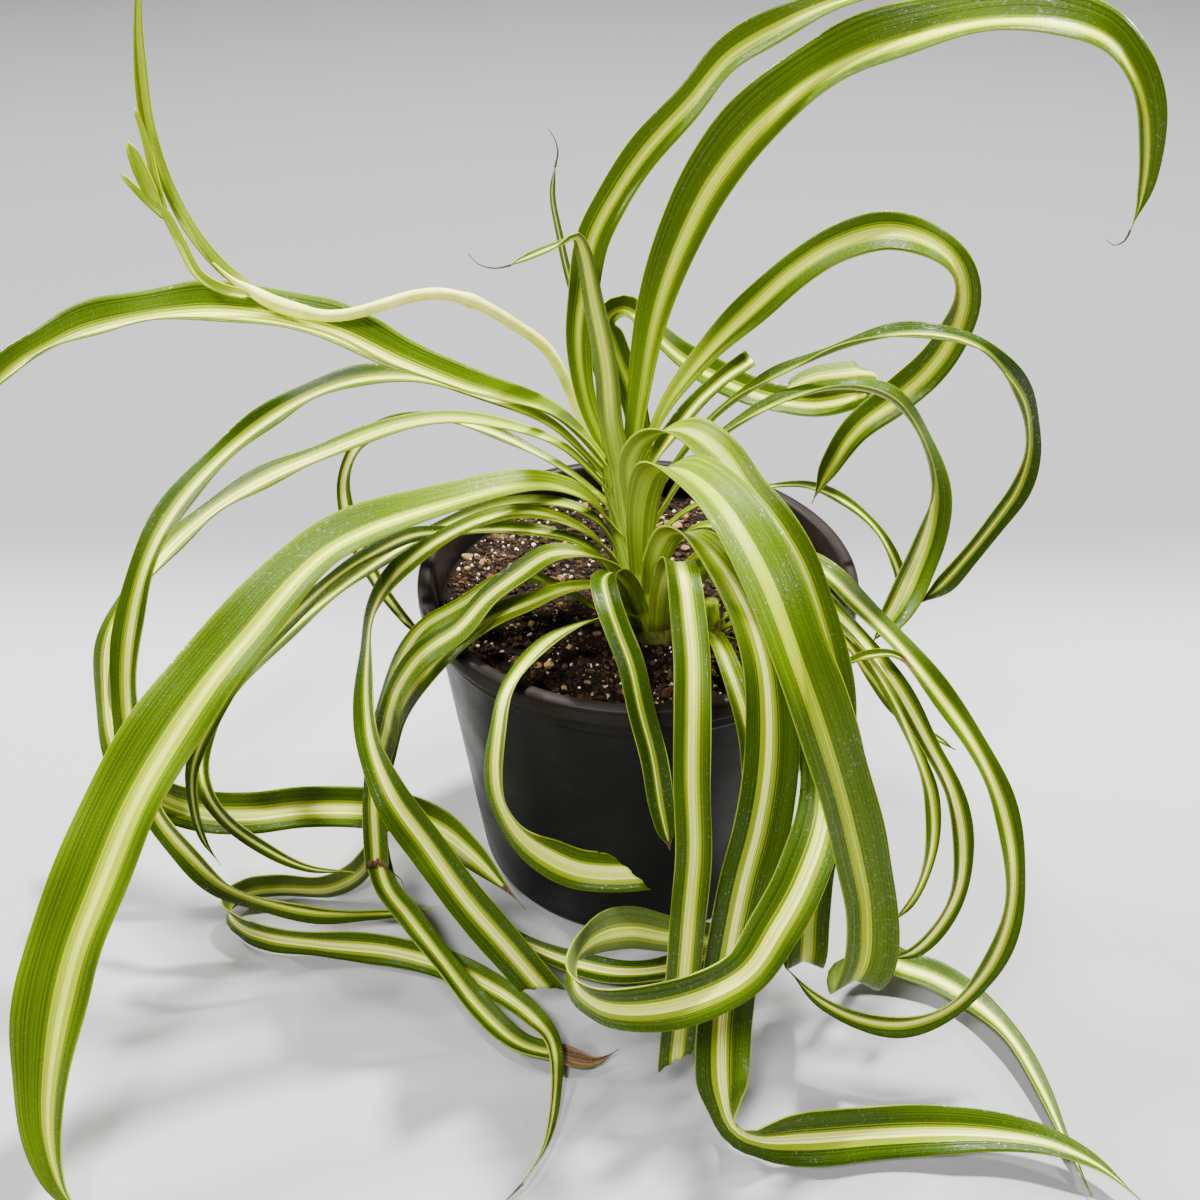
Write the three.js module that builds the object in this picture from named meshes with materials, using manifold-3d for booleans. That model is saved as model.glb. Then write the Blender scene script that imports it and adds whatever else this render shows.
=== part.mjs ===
// A spider plant in a round nursery pot, in millimetres, with +Z up.
// The origin is the centre of the pot's foot on the floor. The front of the plant looks along -Y.
import * as THREE from "three";
import { mergeVertices } from "three/addons/utils/BufferGeometryUtils.js";
import Module from "manifold-3d";

// Driving dimensions of the pot and of what fills it.
const POT_HEIGHT = 130;
const RIM_RADIUS = 80;
const FOOT_RADIUS = 62;
const WALL = 2.2;
const FLOOR = 2.4;
const FOOT_ROUND = 3;
const LIP_HEIGHT = 7;
const LIP_OVERHANG = 3;
const LIP_WIDTH = 5;
const LIP_ROUND = 1.2;
const LIP_TOP_ROUND = 2;
const BAND_HEIGHT = 8;
const BAND_STEP = 2.4;
const DRAIN_HOLES = 8;
const DRAIN_RADIUS = 4.5;
const DRAIN_CIRCLE = 46;
const DRAIN_SIDES = 16;
const SOIL_LEVEL = 117;
const SOIL_MOUND = 1;
const LUMP_HEIGHT = 0.9;
const LUMP_LENGTHS = { across: 5.3, deep: 4.7, slanting: 3.1 };
const SLANTING_SHARE = 0.6;
const LUMPS_FADE = { from: 0.8, to: 0.98 };
const SOIL_RINGS = 8;
const POT_SIDES = 56;
const CLEARANCE = 0.3;
const MERGE_DISTANCE = 1e-4;

// The main crown leans back and to the left out of the soil. A side shoot stands to its right.
const CROWN = { foot: [11.4, -31.4, 96], top: [-8, 5, 176], radii: [8.2, 8.2, 7.8, 6.6, 5.4, 3.4] };
const SIDE_SHOOT = { foot: [23, -29, 100], top: [25, -26, 134], radii: [4.6, 4.6, 4.4, 3.6, 2.4] };
const STEM_SIDES = 14;

// Blades: thickness at right angles to each half, the length of a faceted step, and the edges' wave.
const BLADE_THICKNESS = 0.7;
const BLADE_STEP = 13;
const TAPER_POWER = 1.6;
const EDGE_WAVE = 0.9;
const WAVE_LENGTH = 47;
const WAVE_STARTS = { from: 0.1, to: 0.3 };
const RING = 6;
const FRONT_AND_UP = new THREE.Vector3(0, -0.8, 0.6);

function material(colour, roughness) {
  return new THREE.MeshStandardMaterial({ color: colour, roughness, metalness: 0 });
}

const potMaterial = material(0x2b2a2c, 0.45);
const soilMaterial = material(0x2a211b, 0.95);
const crownMaterial = material(0xb9c48a, 0.5);
const leafMaterial = material(0x5f8f33, 0.4);
const runnerMaterial = material(0xd7dda0, 0.45);

const plant = new THREE.Group();

function addPiece(name, geometry, finish) {
  const mesh = new THREE.Mesh(geometry, finish);
  mesh.name = name;
  plant.add(mesh);
}

function smoothstep(from, to, value) {
  const k = Math.min(1, Math.max(0, (value - from) / (to - from)));
  return k * k * (3 - 2 * k);
}
// Each blade's route is a list of [x, y, z, roll]. At roll 0 its upper side looks to the front and up,
// and at 180 its underside does. `spread` and `taper` say where along the blade it reaches its full
// width and where it starts to narrow, and `fold` is how far each half rises out of the flat.
const LEAVES = {
  leaf_front_left_broad: {
    width: 25, base: 0.36, spread: 0.6, taper: 0.76, tip: 0.1, fold: 14,
    route: [[-8.4, -9.5, 152, 80], [-19, -14, 169, 60], [-34, -20, 178, 45], [-58, -32, 180, 35],
      [-99, -48, 172, 25], [-127, -68, 150, 15], [-145, -82, 132, 10], [-161, -99, 111, 8],
      [-172, -115, 90, 5], [-181, -129, 70, 5], [-187, -144, 46, 8], [-188, -159, 24, 15],
      [-182, -170, 11, 25], [-170, -179, 5, 35]],
  },
  leaf_left_high: {
    width: 20, base: 0.42, spread: 0.4, taper: 0.72, tip: 0.1, fold: 34,
    route: [[-12.2, 2.6, 172, 75], [-30, 4, 190, 55], [-60, 0, 203, 40], [-79, -1, 212, 35],
      [-101, 1, 222, 32], [-137, 7, 226, 32], [-180, 18, 216, 32], [-202, 24, 206, 30],
      [-227, 29, 190, 25], [-248, 32, 166, 15]],
  },
  leaf_left_outer_loop: {
    width: 12, base: 0.6, spread: 0.3, taper: 0.8, tip: 0.2, fold: 24,
    route: [[-12.6, 1.2, 168, 80], [-31, 2, 187, 60], [-54, 4, 197, 50], [-71, 8, 201, 45],
      [-89, 14, 199, 40], [-108, 22, 191, 35], [-128, 27, 179, 30], [-148, 24, 165, 25],
      [-166, 12, 150, 20], [-177, -3, 134, 15], [-184, -16, 112, 10], [-186, -28, 91, 10],
      [-183, -40, 72, 12], [-176, -50, 54, 20], [-165, -58, 43, 30], [-153, -62, 30, 38],
      [-138, -64, 23, 42], [-120, -63, 16, 40], [-100, -60, 12, 35], [-86, -58, 10, 30],
      [-75, -58, 13, 30]],
  },
  leaf_left_inner_loop: {
    width: 17, base: 0.45, spread: 0.4, taper: 0.86, tip: 0.2, fold: 20,
    route: [[-11, -2.1, 164, 80], [-28, 2, 179, 65], [-48, 7, 184, 58], [-66, 13, 183, 55],
      [-84, 17, 178, 50], [-110, 20, 166, 50], [-136, 24, 152, 50], [-160, 23, 137, 50],
      [-181, 12, 120, 50], [-197, 0, 100, 52], [-201, -8, 79, 50], [-198, -20, 65, 38],
      [-190, -28, 53, 20], [-180, -32, 45, 6], [-166, -33, 39, -5], [-149, -31, 36, -5],
      [-131, -26, 34, -5], [-109, -22, 30, -5], [-91, -26, 31, 0], [-74, -39, 36, 5], [-60, -54, 37, 10],
      [-50, -64, 33, 12], [-41, -72, 28, 15]],
  },
  leaf_left_lower: {
    width: 6.5, base: 0.9, spread: 0.3, taper: 0.7, tip: 0.2, fold: 22,
    route: [[-6.5, -16, 131, 80], [-11, -21, 143, 70], [-19, -22, 154, 60], [-33, -20, 158, 50],
      [-47, -18, 158, 45], [-62, -18, 157, 40], [-77, -20, 157, 38], [-90, -25, 153, 35],
      [-104, -33, 147, 30], [-127, -49, 130, 20], [-143, -60, 111, 10], [-151, -68, 95, 5],
      [-152, -73, 82, 0], [-150, -77, 70, 0], [-145, -80, 60, 0]],
  },
  leaf_left_thin: {
    width: 7, base: 0.9, spread: 0.3, taper: 0.75, tip: 0.2, fold: 24,
    route: [[-8.8, -10.3, 147, 80], [-15, -12, 157.5, 65], [-25, -11, 163, 55], [-41, -9, 163, 50],
      [-60, -7, 156, 45], [-81, -11, 147, 40], [-106, -22, 134, 35], [-131, -36, 117, 25],
      [-148, -44, 99, 15], [-154, -52, 84, 10], [-152, -59, 75, 10], [-145, -64, 65, 15],
      [-133, -67, 55, 20], [-119, -68, 46, 20], [-102, -67, 42, 20]],
  },
  leaf_back_left: {
    width: 7, base: 0.9, spread: 0.3, taper: 0.75, tip: 0.25, fold: 22,
    route: [[-10.4, -2.2, 158, 80], [-28, 8, 167, 65], [-47, 16, 174, 55], [-62, 23, 176, 50],
      [-75, 28, 176, 45], [-89, 33, 171, 40], [-103, 34, 161, 32], [-109, 30, 149, 24],
      [-108, 24, 137, 20], [-103, 17, 126, 15], [-96, 8, 116, 10], [-87, 1, 106, 10], [-78, -5, 99, 10]],
  },
  leaf_front_left_cut: {
    width: 14, base: 0.55, spread: 0.8, taper: 0.99, tip: 0.96, fold: 14,
    route: [[-7.5, -14, 140, 95], [-13, -19, 152, 85], [-19, -22, 160, 70], [-29, -23, 166, 60],
      [-40, -23, 168, 55], [-52, -26, 167, 50], [-64, -28, 162, 48], [-75, -30, 155, 46],
      [-84, -31, 146, 50], [-91, -34, 134, 58], [-93, -41, 122, 60], [-93, -52, 110, 52],
      [-90, -65, 101, 34], [-83, -77, 90, 14], [-72, -84, 74, 0], [-59, -93, 57, 0], [-44, -99, 37, 0],
      [-34, -101, 20, 0]],
  },
  leaf_left_cut: {
    width: 9.5, base: 0.8, spread: 0.3, taper: 0.99, tip: 0.95, fold: 22,
    route: [[-3.1, -20.8, 134, 120], [-7, -27, 146, 100], [-13, -31, 154, 85], [-21, -33, 158, 60],
      [-30, -34, 158, 45], [-40, -38, 153, 35], [-50, -44, 148, 30], [-59, -53, 142, 28],
      [-70, -58, 136, 25], [-80, -58, 121, 20], [-87, -54, 98, 12], [-94, -52, 71, 5], [-97, -54, 31, 0]],
  },
  leaf_left_trailing: {
    width: 9.5, base: 0.8, spread: 0.3, taper: 0.85, tip: 0.5, fold: 20,
    route: [[-4.2, -21.9, 128, 100], [-9, -27, 138, 85], [-17, -32, 144, 70], [-27, -36, 145, 55],
      [-37, -40, 143, 42], [-49, -44, 140, 32], [-60, -48, 134, 25], [-72, -51, 123, 18],
      [-83, -47, 103, 10], [-91, -45, 80, 4], [-97, -45, 55, 0], [-98, -48, 35, -5], [-94, -57, 23, -10],
      [-85, -67, 18, -25], [-72, -83, 14, -35], [-57, -100, 8, -45], [-42, -112, 4, -50],
      [-28, -116, 3, -50], [-16, -119, 3, -45], [-7, -115, 5, -40]],
  },
  leaf_floor_curl: {
    width: 14, base: 0.4, spread: 0.5, taper: 0.62, tip: 0.12, fold: 12,
    route: [[-3.9, -22.5, 122, 90], [-16, -27, 132, 75], [-29, -28, 142, 60], [-43, -33, 149, 45],
      [-60, -42, 143, 40], [-73, -43, 134, 40], [-86, -39, 107, 40], [-93, -36, 79, 45],
      [-97, -37, 54, 55], [-100, -38, 33, 85], [-107, -42, 15, 125], [-120, -45, 8.5, 143],
      [-140, -45, 8, 140], [-151, -47, 8, 120], [-156, -54, 8, 92], [-151, -62, 8, 55],
      [-140, -67, 8, 37], [-119, -70, 7, 30], [-91, -73, 6.5, 15], [-68, -80, 5, -10],
      [-51, -90, 5, -30], [-37, -105, 9, -45], [-30, -117, 11, -50], [-29, -132, 6, -50],
      [-32, -150, 2.5, -50], [-39, -163, 2, -50]],
  },
  leaf_front_c_shaped: {
    width: 14, base: 0.5, spread: 0.85, taper: 0.96, tip: 0.9, fold: 14,
    route: [[-1.8, -27, 122, 140], [-3, -33, 130, 130], [-8, -39, 136, 105], [-17, -45, 139, 85],
      [-28, -52, 138, 68], [-37, -62, 135, 60], [-43, -74, 132, 58], [-45, -83, 125, 62],
      [-46, -88, 114, 68], [-45, -90, 102, 62], [-40, -91, 89, 42], [-32, -91, 79, 22],
      [-22, -92, 73, 8], [-13, -93, 72, 2], [-3, -94, 73, 0]],
  },
  leaf_front_short: {
    width: 9, base: 0.75, spread: 0.3, taper: 0.85, tip: 0.4, fold: 22,
    route: [[0.6, -26, 128, 170], [-4, -35, 146, 140], [-9, -41, 156, 90], [-12, -49, 159, 40],
      [-11, -58, 158, 15], [-8, -67, 153, 5], [-4, -76, 146, 0], [-1, -84, 135, 0], [3, -89, 120, 0],
      [6, -94, 102, 0], [9, -98, 87, 0]],
  },
  leaf_front_centre: {
    width: 11.5, base: 0.65, spread: 0.4, taper: 0.99, tip: 0.95, fold: 14,
    route: [[6.7, -28.6, 122, 180], [7, -37, 145, 180], [9, -43, 160, -160], [11, -51, 167, -35],
      [12, -61, 168, -5], [13, -72, 163, 0], [14, -83, 154, 0], [14, -93, 143, 0], [14, -104, 124, 0],
      [15, -112, 102, 0], [14, -118, 82, 0], [13, -123, 60, 0], [12, -129, 38, 0], [11, -133, 24, 0]],
  },
  leaf_front_folded: {
    width: 18.5, base: 0.45, spread: 0.4, taper: 0.74, tip: 0.1, fold: 14,
    route: [[4.8, -22.6, 134, 180], [5, -34, 157, 180], [9, -38, 169, -135], [16, -46, 174, -55],
      [24, -57, 171, -15], [32, -69, 162, -5], [37, -79, 150, 0], [39, -88, 135, 0], [39, -95, 120, 0],
      [37, -101, 101, 0], [33, -107, 80, 0], [30, -113, 59, 0], [28, -121, 42, 0], [27, -131, 26, 5],
      [28, -140, 15.5, 35], [30.5, -147, 10.5, 85], [37, -151, 10, 40], [52, -151, 10, 5],
      [75, -149, 9.5, -5], [97, -148, 9, -15], [115, -149, 9, -30], [132, -153, 9.5, -45],
      [146, -160, 8, -50], [158, -171, 5, -50]],
  },
  leaf_front_right_broad: {
    width: 18, base: 0.5, spread: 0.35, taper: 0.97, tip: 0.8, fold: 20,
    route: [[1.2, -19.9, 140, 180], [0, -26, 162, 180], [1, -29, 178, -165], [4, -34, 190, -120],
      [11, -46, 198, -50], [20, -62, 200, -20], [28, -78, 196, -10], [35, -93, 188, -5],
      [42, -105, 173, -5], [50, -112, 153, -5], [58, -114, 129, -5], [65, -116, 105, -5],
      [70, -118, 84, -5], [72, -121, 64, -5], [71, -121, 54, -10], [70, -118.5, 47.5, -20],
      [70, -113, 44.5, 180], [70.5, -107, 45.5, 180]],
  },
  leaf_right_behind_broad: {
    width: 14, base: 0.5, spread: 0.35, taper: 0.97, tip: 0.85, fold: 18,
    route: [[2.6, -16.9, 147, 180], [-2, -17, 168, 180], [-3, -16, 184, -160], [3, -18, 194, -105],
      [14, -26, 200, -40], [23.5, -38, 199, -10], [31, -49, 192, -5], [38, -56, 186, 0],
      [46, -63, 175, 0], [52, -68, 161, 0], [57, -71, 146, 0], [61, -74, 129, 0], [62, -79, 110, 0],
      [60, -85, 90, 0], [58, -91, 71, 0], [57, -97, 53, 0], [57, -101.5, 41, 0], [57, -100, 34, 0],
      [57, -94, 30.5, 180], [57, -86, 31.5, 180]],
  },
  leaf_front_hook: {
    width: 16, base: 0.5, spread: 0.5, taper: 0.8, tip: 0.7, fold: 14,
    route: [[11.6, -23.6, 128, -180], [19, -32, 150, -160], [26, -39, 160, -80], [34, -50, 161, 0],
      [42, -64, 153, 20], [48, -76, 139, 45], [54, -91, 125, 50], [54, -107, 112, 30],
      [47, -121, 99, 12], [39, -130, 88, 4], [30, -138, 78, -2], [14, -146, 76, -12],
      [-2, -149, 75, -20], [-13, -147, 74, -32], [-20, -140, 73, -60], [-21, -131, 71, -90],
      [-19, -122, 68, -125], [-13, -114, 65, -160], [-3, -107, 59, -178], [9, -102, 50, -180],
      [24, -99, 44, -180]],
  },
  leaf_right_loop_inner: {
    width: 8, base: 0.85, spread: 0.3, taper: 0.85, tip: 0.3, fold: 24,
    route: [[9.9, -9.5, 141, -90], [17, -13, 153, -80], [24, -18, 159, -65], [33, -26, 161, -50],
      [43, -36, 159, -45], [55, -47, 153, -40], [70, -58, 142, -35], [82, -67, 129, -30],
      [93, -75, 112, -25], [102, -82, 96, -20], [106, -90, 80, -20], [105, -97, 67, -20],
      [99, -103, 56, -25], [91, -107, 48, -30], [82, -106, 42, -35]],
  },
  leaf_right_loop_outer: {
    width: 9.5, base: 0.8, spread: 0.3, taper: 0.85, tip: 0.3, fold: 24,
    route: [[10.7, -14.8, 134, -90], [21, -15, 145, -75], [31, -18, 151, -55], [44, -25, 154, -45],
      [58, -34, 154, -40], [70, -46, 148, -35], [82, -57, 140, -30], [93, -66, 130, -25],
      [106, -75, 115, -22], [117, -84, 96, -20], [122, -94, 78, -20], [122, -102, 60, -22],
      [116, -110, 43, -25], [104, -117, 32, -30], [88, -120, 27, -32], [73, -117, 26, -32],
      [60, -110, 28, -30], [51, -101, 31, -25]],
  },
  leaf_right_loop_narrow: {
    width: 6, base: 0.85, spread: 0.3, taper: 0.8, tip: 0.3, fold: 24,
    route: [[29.1, -28, 128, -90], [37, -32, 135, -65], [48, -36, 139, -50], [58, -43, 141, -45],
      [69, -51, 136, -40], [81, -58, 122, -35], [91, -64, 103, -30], [98, -72, 86, -25],
      [99, -81, 71, -22], [94, -90, 58, -25], [86, -96, 48, -30]],
  },
  leaf_right_short: {
    width: 5, base: 0.9, spread: 0.3, taper: 0.6, tip: 0.25, fold: 22,
    route: [[29.2, -29.4, 124.6, -110], [37, -37, 132, -80], [46, -47, 135, -60], [57, -57, 137, -55],
      [66, -64, 137, -50], [71, -68, 143, -45], [78, -71, 146, -40], [85, -71, 141, -35]],
  },
  leaf_right_low: {
    width: 5.5, base: 0.9, spread: 0.3, taper: 0.7, tip: 0.25, fold: 22,
    route: [[29.8, -25.8, 120.5, -80], [40, -25, 128, -60], [54, -34, 134, -50], [66, -43, 132, -45],
      [77, -50, 120, -40], [89, -52, 105, -35], [101, -53, 96, -35], [110, -55, 91, -35]],
  },
  leaf_floor_front: {
    width: 11, base: 0.45, spread: 0.4, taper: 0.72, tip: 0.2, fold: 16,
    route: [[22.9, -32.4, 120, 175], [21, -45, 136, -125], [24, -58, 142, -20], [28, -74, 140, -5],
      [33, -84, 128, 0], [36, -87, 111, 0], [38, -88, 90, 0], [39, -87, 66, 0], [38, -85, 42, 5],
      [33, -82, 20, 20], [23, -80, 9, 45], [8, -82, 5, 52], [-8, -82, 4, 53], [-24, -78, 4, 53],
      [-37, -72, 4, 53], [-52, -62, 4, 50], [-65, -50, 6, 40], [-76, -36, 15, 30]],
  },
  leaf_floor_right: {
    width: 13.5, base: 0.36, spread: 0.5, taper: 0.6, tip: 0.16, fold: 16,
    route: [[27.5, -32, 121, -130], [33, -44, 131, -80], [44, -57, 137, -50], [60, -68, 130, -35],
      [68, -74, 110, -30], [74, -77, 80, -28], [80, -77, 46, -28], [86, -76, 18, -32], [95, -79, 7, -40],
      [110, -85, 5, -40], [122, -95, 4.5, -40], [131, -109, 4, -42], [137, -130, 3, -45],
      [140, -150, 2.5, -45], [143, -167, 2.5, -45]],
  },
  leaf_right_twisting: {
    width: 14.5, base: 0.5, spread: 0.75, taper: 0.86, tip: 0.25, fold: 20,
    route: [[4.3, -8.9, 152, -90], [14, -14, 175, -80], [22, -18, 190, -75], [33, -22, 202, -70],
      [46, -26, 212, -68], [60, -29, 217, -65], [73, -28, 214, -60], [85, -23, 202, -58],
      [93, -20, 187, -54], [97, -20, 172, -46], [96, -24, 159, -34], [91, -32, 149, -20],
      [84, -43, 142, -5], [75, -54, 137, -5]],
  },
  leaf_right_arch: {
    width: 8, base: 0.85, spread: 0.3, taper: 0.99, tip: 0.7, fold: 26,
    route: [[3, -4.4, 158, -90], [15, -5, 180, -80], [25, -8, 196, -75], [38, -13, 210, -70],
      [50, -20, 221, -65], [63, -28, 231, -60], [75, -34, 237, -55], [86, -37, 238, -45],
      [97, -35, 234, -35], [108, -30, 224, -25], [119, -24, 210, -20], [124, -21, 197, -15],
      [126, -19, 185, -12], [125, -18, 173, -10], [120, -18, 161, -10], [112, -20, 148, -8],
      [104, -23, 138, -8], [96, -25, 131, -8]],
  },
  leaf_right_folded: {
    width: 13, base: 0.6, spread: 0.35, taper: 0.8, tip: 0.25, fold: 20,
    route: [[-0.5, 1.8, 168, -80], [10, 3, 195, -55], [22, 3, 213, -35], [36, 3, 229, -20],
      [49, 3, 242, -12], [61, 3, 250, -10], [75, 3, 254, -10], [88, 3, 251, -15], [98, 5, 243, -25],
      [103, 8, 230, -25], [102, 10, 216, -15], [97, 11, 204, 5], [87, 10, 193, 10], [75, 9, 182, 15],
      [67, 6, 169, 15], [61, 2, 156, 15]],
  },
  leaf_top_right: {
    width: 19, base: 0.42, spread: 0.42, taper: 0.62, tip: 0.08, fold: 24,
    route: [[-2.1, 7.4, 172, -40], [0, 8, 196, -25], [4, 11, 224, -10], [12, 15, 249, 0],
      [22, 17, 269, 5], [37, 17, 287, -5], [59, 11, 304, -15], [78, 5, 312, -18], [96, -2, 317, -20],
      [111, -8, 318, -20], [124, -12, 315, -15], [133, -13, 307, -10], [140, -12, 296, -5],
      [145, -10, 282, 5], [147, -8, 270, 10], [147, -5, 257, 10]],
  },
  leaf_top_left: {
    width: 12, base: 0.5, spread: 0.4, taper: 0.75, tip: 0.1, fold: 26,
    route: [[-8.6, 8.6, 168, 0], [-18, 13, 190, 0], [-21, 13, 214, 10], [-19, 14, 232, 10],
      [-16, 16, 247, 5], [-9, 18, 260, 0], [1, 20, 274, -5], [14, 21, 288, -8], [25, 21, 301, -10],
      [39, 19, 310, -12], [53, 16, 317, -15], [67, 12, 321, -15], [80, 7, 321, -15]],
  },
  leaf_top_front: {
    width: 8.5, base: 0.95, spread: 0.1, taper: 0.25, tip: 0.2, fold: 20,
    route: [[-6.4, -2.2, 172, 180], [-10, -2, 190, 178], [-12, 1, 211, 175], [-16, 3, 232, 172],
      [-19, 3, 248, 165], [-21, 1, 253, 120], [-25, -1, 252, 60], [-32, -3, 250, 35], [-42, -6, 247, 25]],
  },
  leaf_top_thin: {
    width: 4, base: 1, spread: 0.1, taper: 0.3, tip: 0.3, fold: 24,
    route: [[-5.4, 4.4, 160, 180], [-7, 12.5, 172, 180], [-11, 19.5, 186, 180], [-18, 24, 212, 180],
      [-24, 24, 231, 180], [-27, 25, 246, 180], [-29, 26, 258, 180], [-28, 26, 268, 180]],
  },
  leaf_back_over: {
    width: 13, base: 0.62, spread: 0.55, taper: 0.85, tip: 0.6, fold: 22,
    route: [[0.5, 1.9, 151, 0], [1, 13, 172, 0], [-3, 22, 190, 0], [-9, 28, 205, -10],
      [-11, 30, 213, -25], [-6, 31, 216, -40], [4, 31, 208, -35], [14, 30, 199, -30], [27, 28, 192, -25],
      [43, 26, 186, -20], [60, 23, 184, -20], [73, 21, 187, -25], [82, 22, 190, -60],
      [82, 20, 197, -110], [77, 18, 199, -160], [69, 18, 198, -175], [60, 19, 196, -180],
      [51, 20, 191, -180]],
  },
  leaf_right_thin: {
    width: 4.5, base: 1, spread: 0.2, taper: 0.75, tip: 0.5, fold: 20,
    route: [[6.6, -4.5, 147, -80], [18, -2, 156, -70], [30, 0, 161, -60], [44, 3, 162, -55],
      [59, 7, 160, -50], [72, 9, 154, -40], [81, 10, 147, -30], [89, 10, 138, -20], [95, 9, 128, -12],
      [99, 7, 118, -10], [100, 3, 108, -10], [99, -1, 99, -10]],
  },
  leaf_right_snapped: {
    width: 8, base: 0.8, spread: 0.3, taper: 0.99, tip: 0.95, fold: 26,
    route: [[0.6, 1.6, 164, -70], [10, 7, 178, -50], [19, 11, 190, -35], [29, 14, 199, -25],
      [38, 16, 205, -20]],
  },
};

// The runner is a round stem that lies across the high leaf and carries a young plant at its end.
const RUNNER_RADIUS = 2.1;
const RUNNER_STEP = 8;
const RUNNER_SIDES = 8;
const RUNNER_ROUTE = [[-10.5, 3.3, 161], [-15.5, 11.5, 172], [-22, 18, 186], [-27, 17, 200], [-33, 13, 212],
  [-42, 9, 221], [-53, 5, 230], [-63, 3, 234], [-72, 2, 234], [-82, 1, 231.5], [-92, 1, 228.5],
  [-101, 1, 227.5], [-111, 2, 229], [-119, 4, 231], [-125, 6, 233.5]];
const YOUNG_LEAF = {
  width: 4.4, base: 0.9, spread: 0.1, taper: 0.5, tip: 0.4, fold: 22,
  route: [[-125.6, 6.6, 234.6, 0], [-133, 7.5, 240, 0], [-141, 9, 251, 0], [-147, 11, 265, 0],
    [-150, 13, 285, 0], [-149, 14, 303, 0], [-146, 13, 318, 0], [-142, 10, 328, 0]],
};
const YOUNG_STALK = {
  width: 3.4, base: 1, spread: 0.1, taper: 0.9, tip: 0.7, fold: 24,
  route: [[-125.8, 4.2, 233.2, 0], [-134, 3, 236, 0], [-140, 2, 241, 0], [-144, 3, 251, 0],
    [-148, 4, 262, 0]],
};
const YOUNG_BRACTS = [
  { width: 2.6, base: 0.9, spread: 0.1, taper: 0.3, tip: 0.4, fold: 22,
    route: [[-147, 4, 258, 0], [-152, 3.4, 264, 0], [-158, 2, 273, 0]] },
  { width: 5, base: 0.4, spread: 0.4, taper: 0.6, tip: 0.3, fold: 30,
    route: [[-147.6, 4.2, 260, 0], [-150.5, 4, 267, 0], [-152.5, 4, 275, 0], [-154.5, 4, 282, 0]] },
  { width: 2.6, base: 0.9, spread: 0.1, taper: 0.3, tip: 0.4, fold: 22,
    route: [[-147.4, 4, 259, 0], [-148.6, 5, 270, 0], [-149.5, 6, 281, 0], [-151, 6, 291, 0]] },
];

const wasm = await Module();
wasm.setup();

function toSolid(geometry) {
  const bare = geometry.index ? geometry.toNonIndexed() : geometry.clone();
  bare.deleteAttribute("normal");
  bare.deleteAttribute("uv");
  const merged = mergeVertices(bare, MERGE_DISTANCE);
  return new wasm.Manifold(new wasm.Mesh({
    numProp: 3,
    vertProperties: Float32Array.from(merged.attributes.position.array),
    triVerts: Uint32Array.from(merged.index.array),
  }));
}

function toGeometry(solid) {
  const mesh = solid.getMesh();
  const geometry = new THREE.BufferGeometry();
  geometry.setAttribute("position", new THREE.BufferAttribute(mesh.vertProperties, 3));
  geometry.setIndex(new THREE.BufferAttribute(mesh.triVerts, 1));
  return geometry;
}

function turned(outline, sides) {
  const points = outline.map(([radius, height]) => new THREE.Vector2(radius, height));
  return new THREE.LatheGeometry(points, sides).rotateX(Math.PI / 2);
}

// The pot is one thin moulding: a tapered wall, a shallow band under the lip, and a lip turned out.
function wallRadius(height) {
  const underBand = RIM_RADIUS - LIP_OVERHANG - BAND_STEP;
  return FOOT_RADIUS + ((underBand - FOOT_RADIUS) * height) / (POT_HEIGHT - LIP_HEIGHT - BAND_HEIGHT);
}

// Three points round a corner of an outline, from one point beside it to the other.
function roundedCorner(before, corner, after) {
  const mix = (a, b, k) => [a[0] + (b[0] - a[0]) * k, a[1] + (b[1] - a[1]) * k];
  return [0, 0.5, 1].map((k) => mix(mix(before, corner, k), mix(corner, after, k), k));
}

function potGeometry() {
  const lipFoot = POT_HEIGHT - LIP_HEIGHT;
  const bandFoot = lipFoot - BAND_HEIGHT;
  const bandRadius = RIM_RADIUS - LIP_OVERHANG;
  const lipInside = RIM_RADIUS - LIP_WIDTH;
  const foot = roundedCorner(
    [FOOT_RADIUS - FOOT_ROUND, 0], [FOOT_RADIUS, 0], [wallRadius(FOOT_ROUND), FOOT_ROUND],
  );
  const band = [[wallRadius(bandFoot), bandFoot], [bandRadius, bandFoot + BAND_STEP], [bandRadius, lipFoot]];
  const lipUnder = roundedCorner(
    [RIM_RADIUS - LIP_ROUND, lipFoot], [RIM_RADIUS, lipFoot], [RIM_RADIUS, lipFoot + LIP_ROUND],
  );
  const lipTop = roundedCorner(
    [RIM_RADIUS, POT_HEIGHT - LIP_TOP_ROUND], [RIM_RADIUS, POT_HEIGHT],
    [RIM_RADIUS - LIP_TOP_ROUND, POT_HEIGHT],
  );
  const inside = [[lipInside + LIP_ROUND, POT_HEIGHT], [lipInside, POT_HEIGHT - LIP_ROUND]];
  inside.push([wallRadius(lipFoot) - WALL, lipFoot], [wallRadius(FLOOR) - WALL, FLOOR], [0, FLOOR]);
  const outline = [[0, 0], ...foot, ...band, ...lipUnder, ...lipTop, ...inside];
  let pot = toSolid(turned(outline, POT_SIDES));
  for (let i = 0; i < DRAIN_HOLES; i += 1) {
    const angle = (2 * Math.PI * (i + 0.5)) / DRAIN_HOLES;
    const hole = new THREE.CylinderGeometry(DRAIN_RADIUS, DRAIN_RADIUS, 4 * FLOOR, DRAIN_SIDES);
    hole.rotateX(Math.PI / 2);
    hole.translate(DRAIN_CIRCLE * Math.cos(angle), DRAIN_CIRCLE * Math.sin(angle), 0);
    pot = pot.subtract(toSolid(hole));
  }
  return toGeometry(pot);
}

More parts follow.
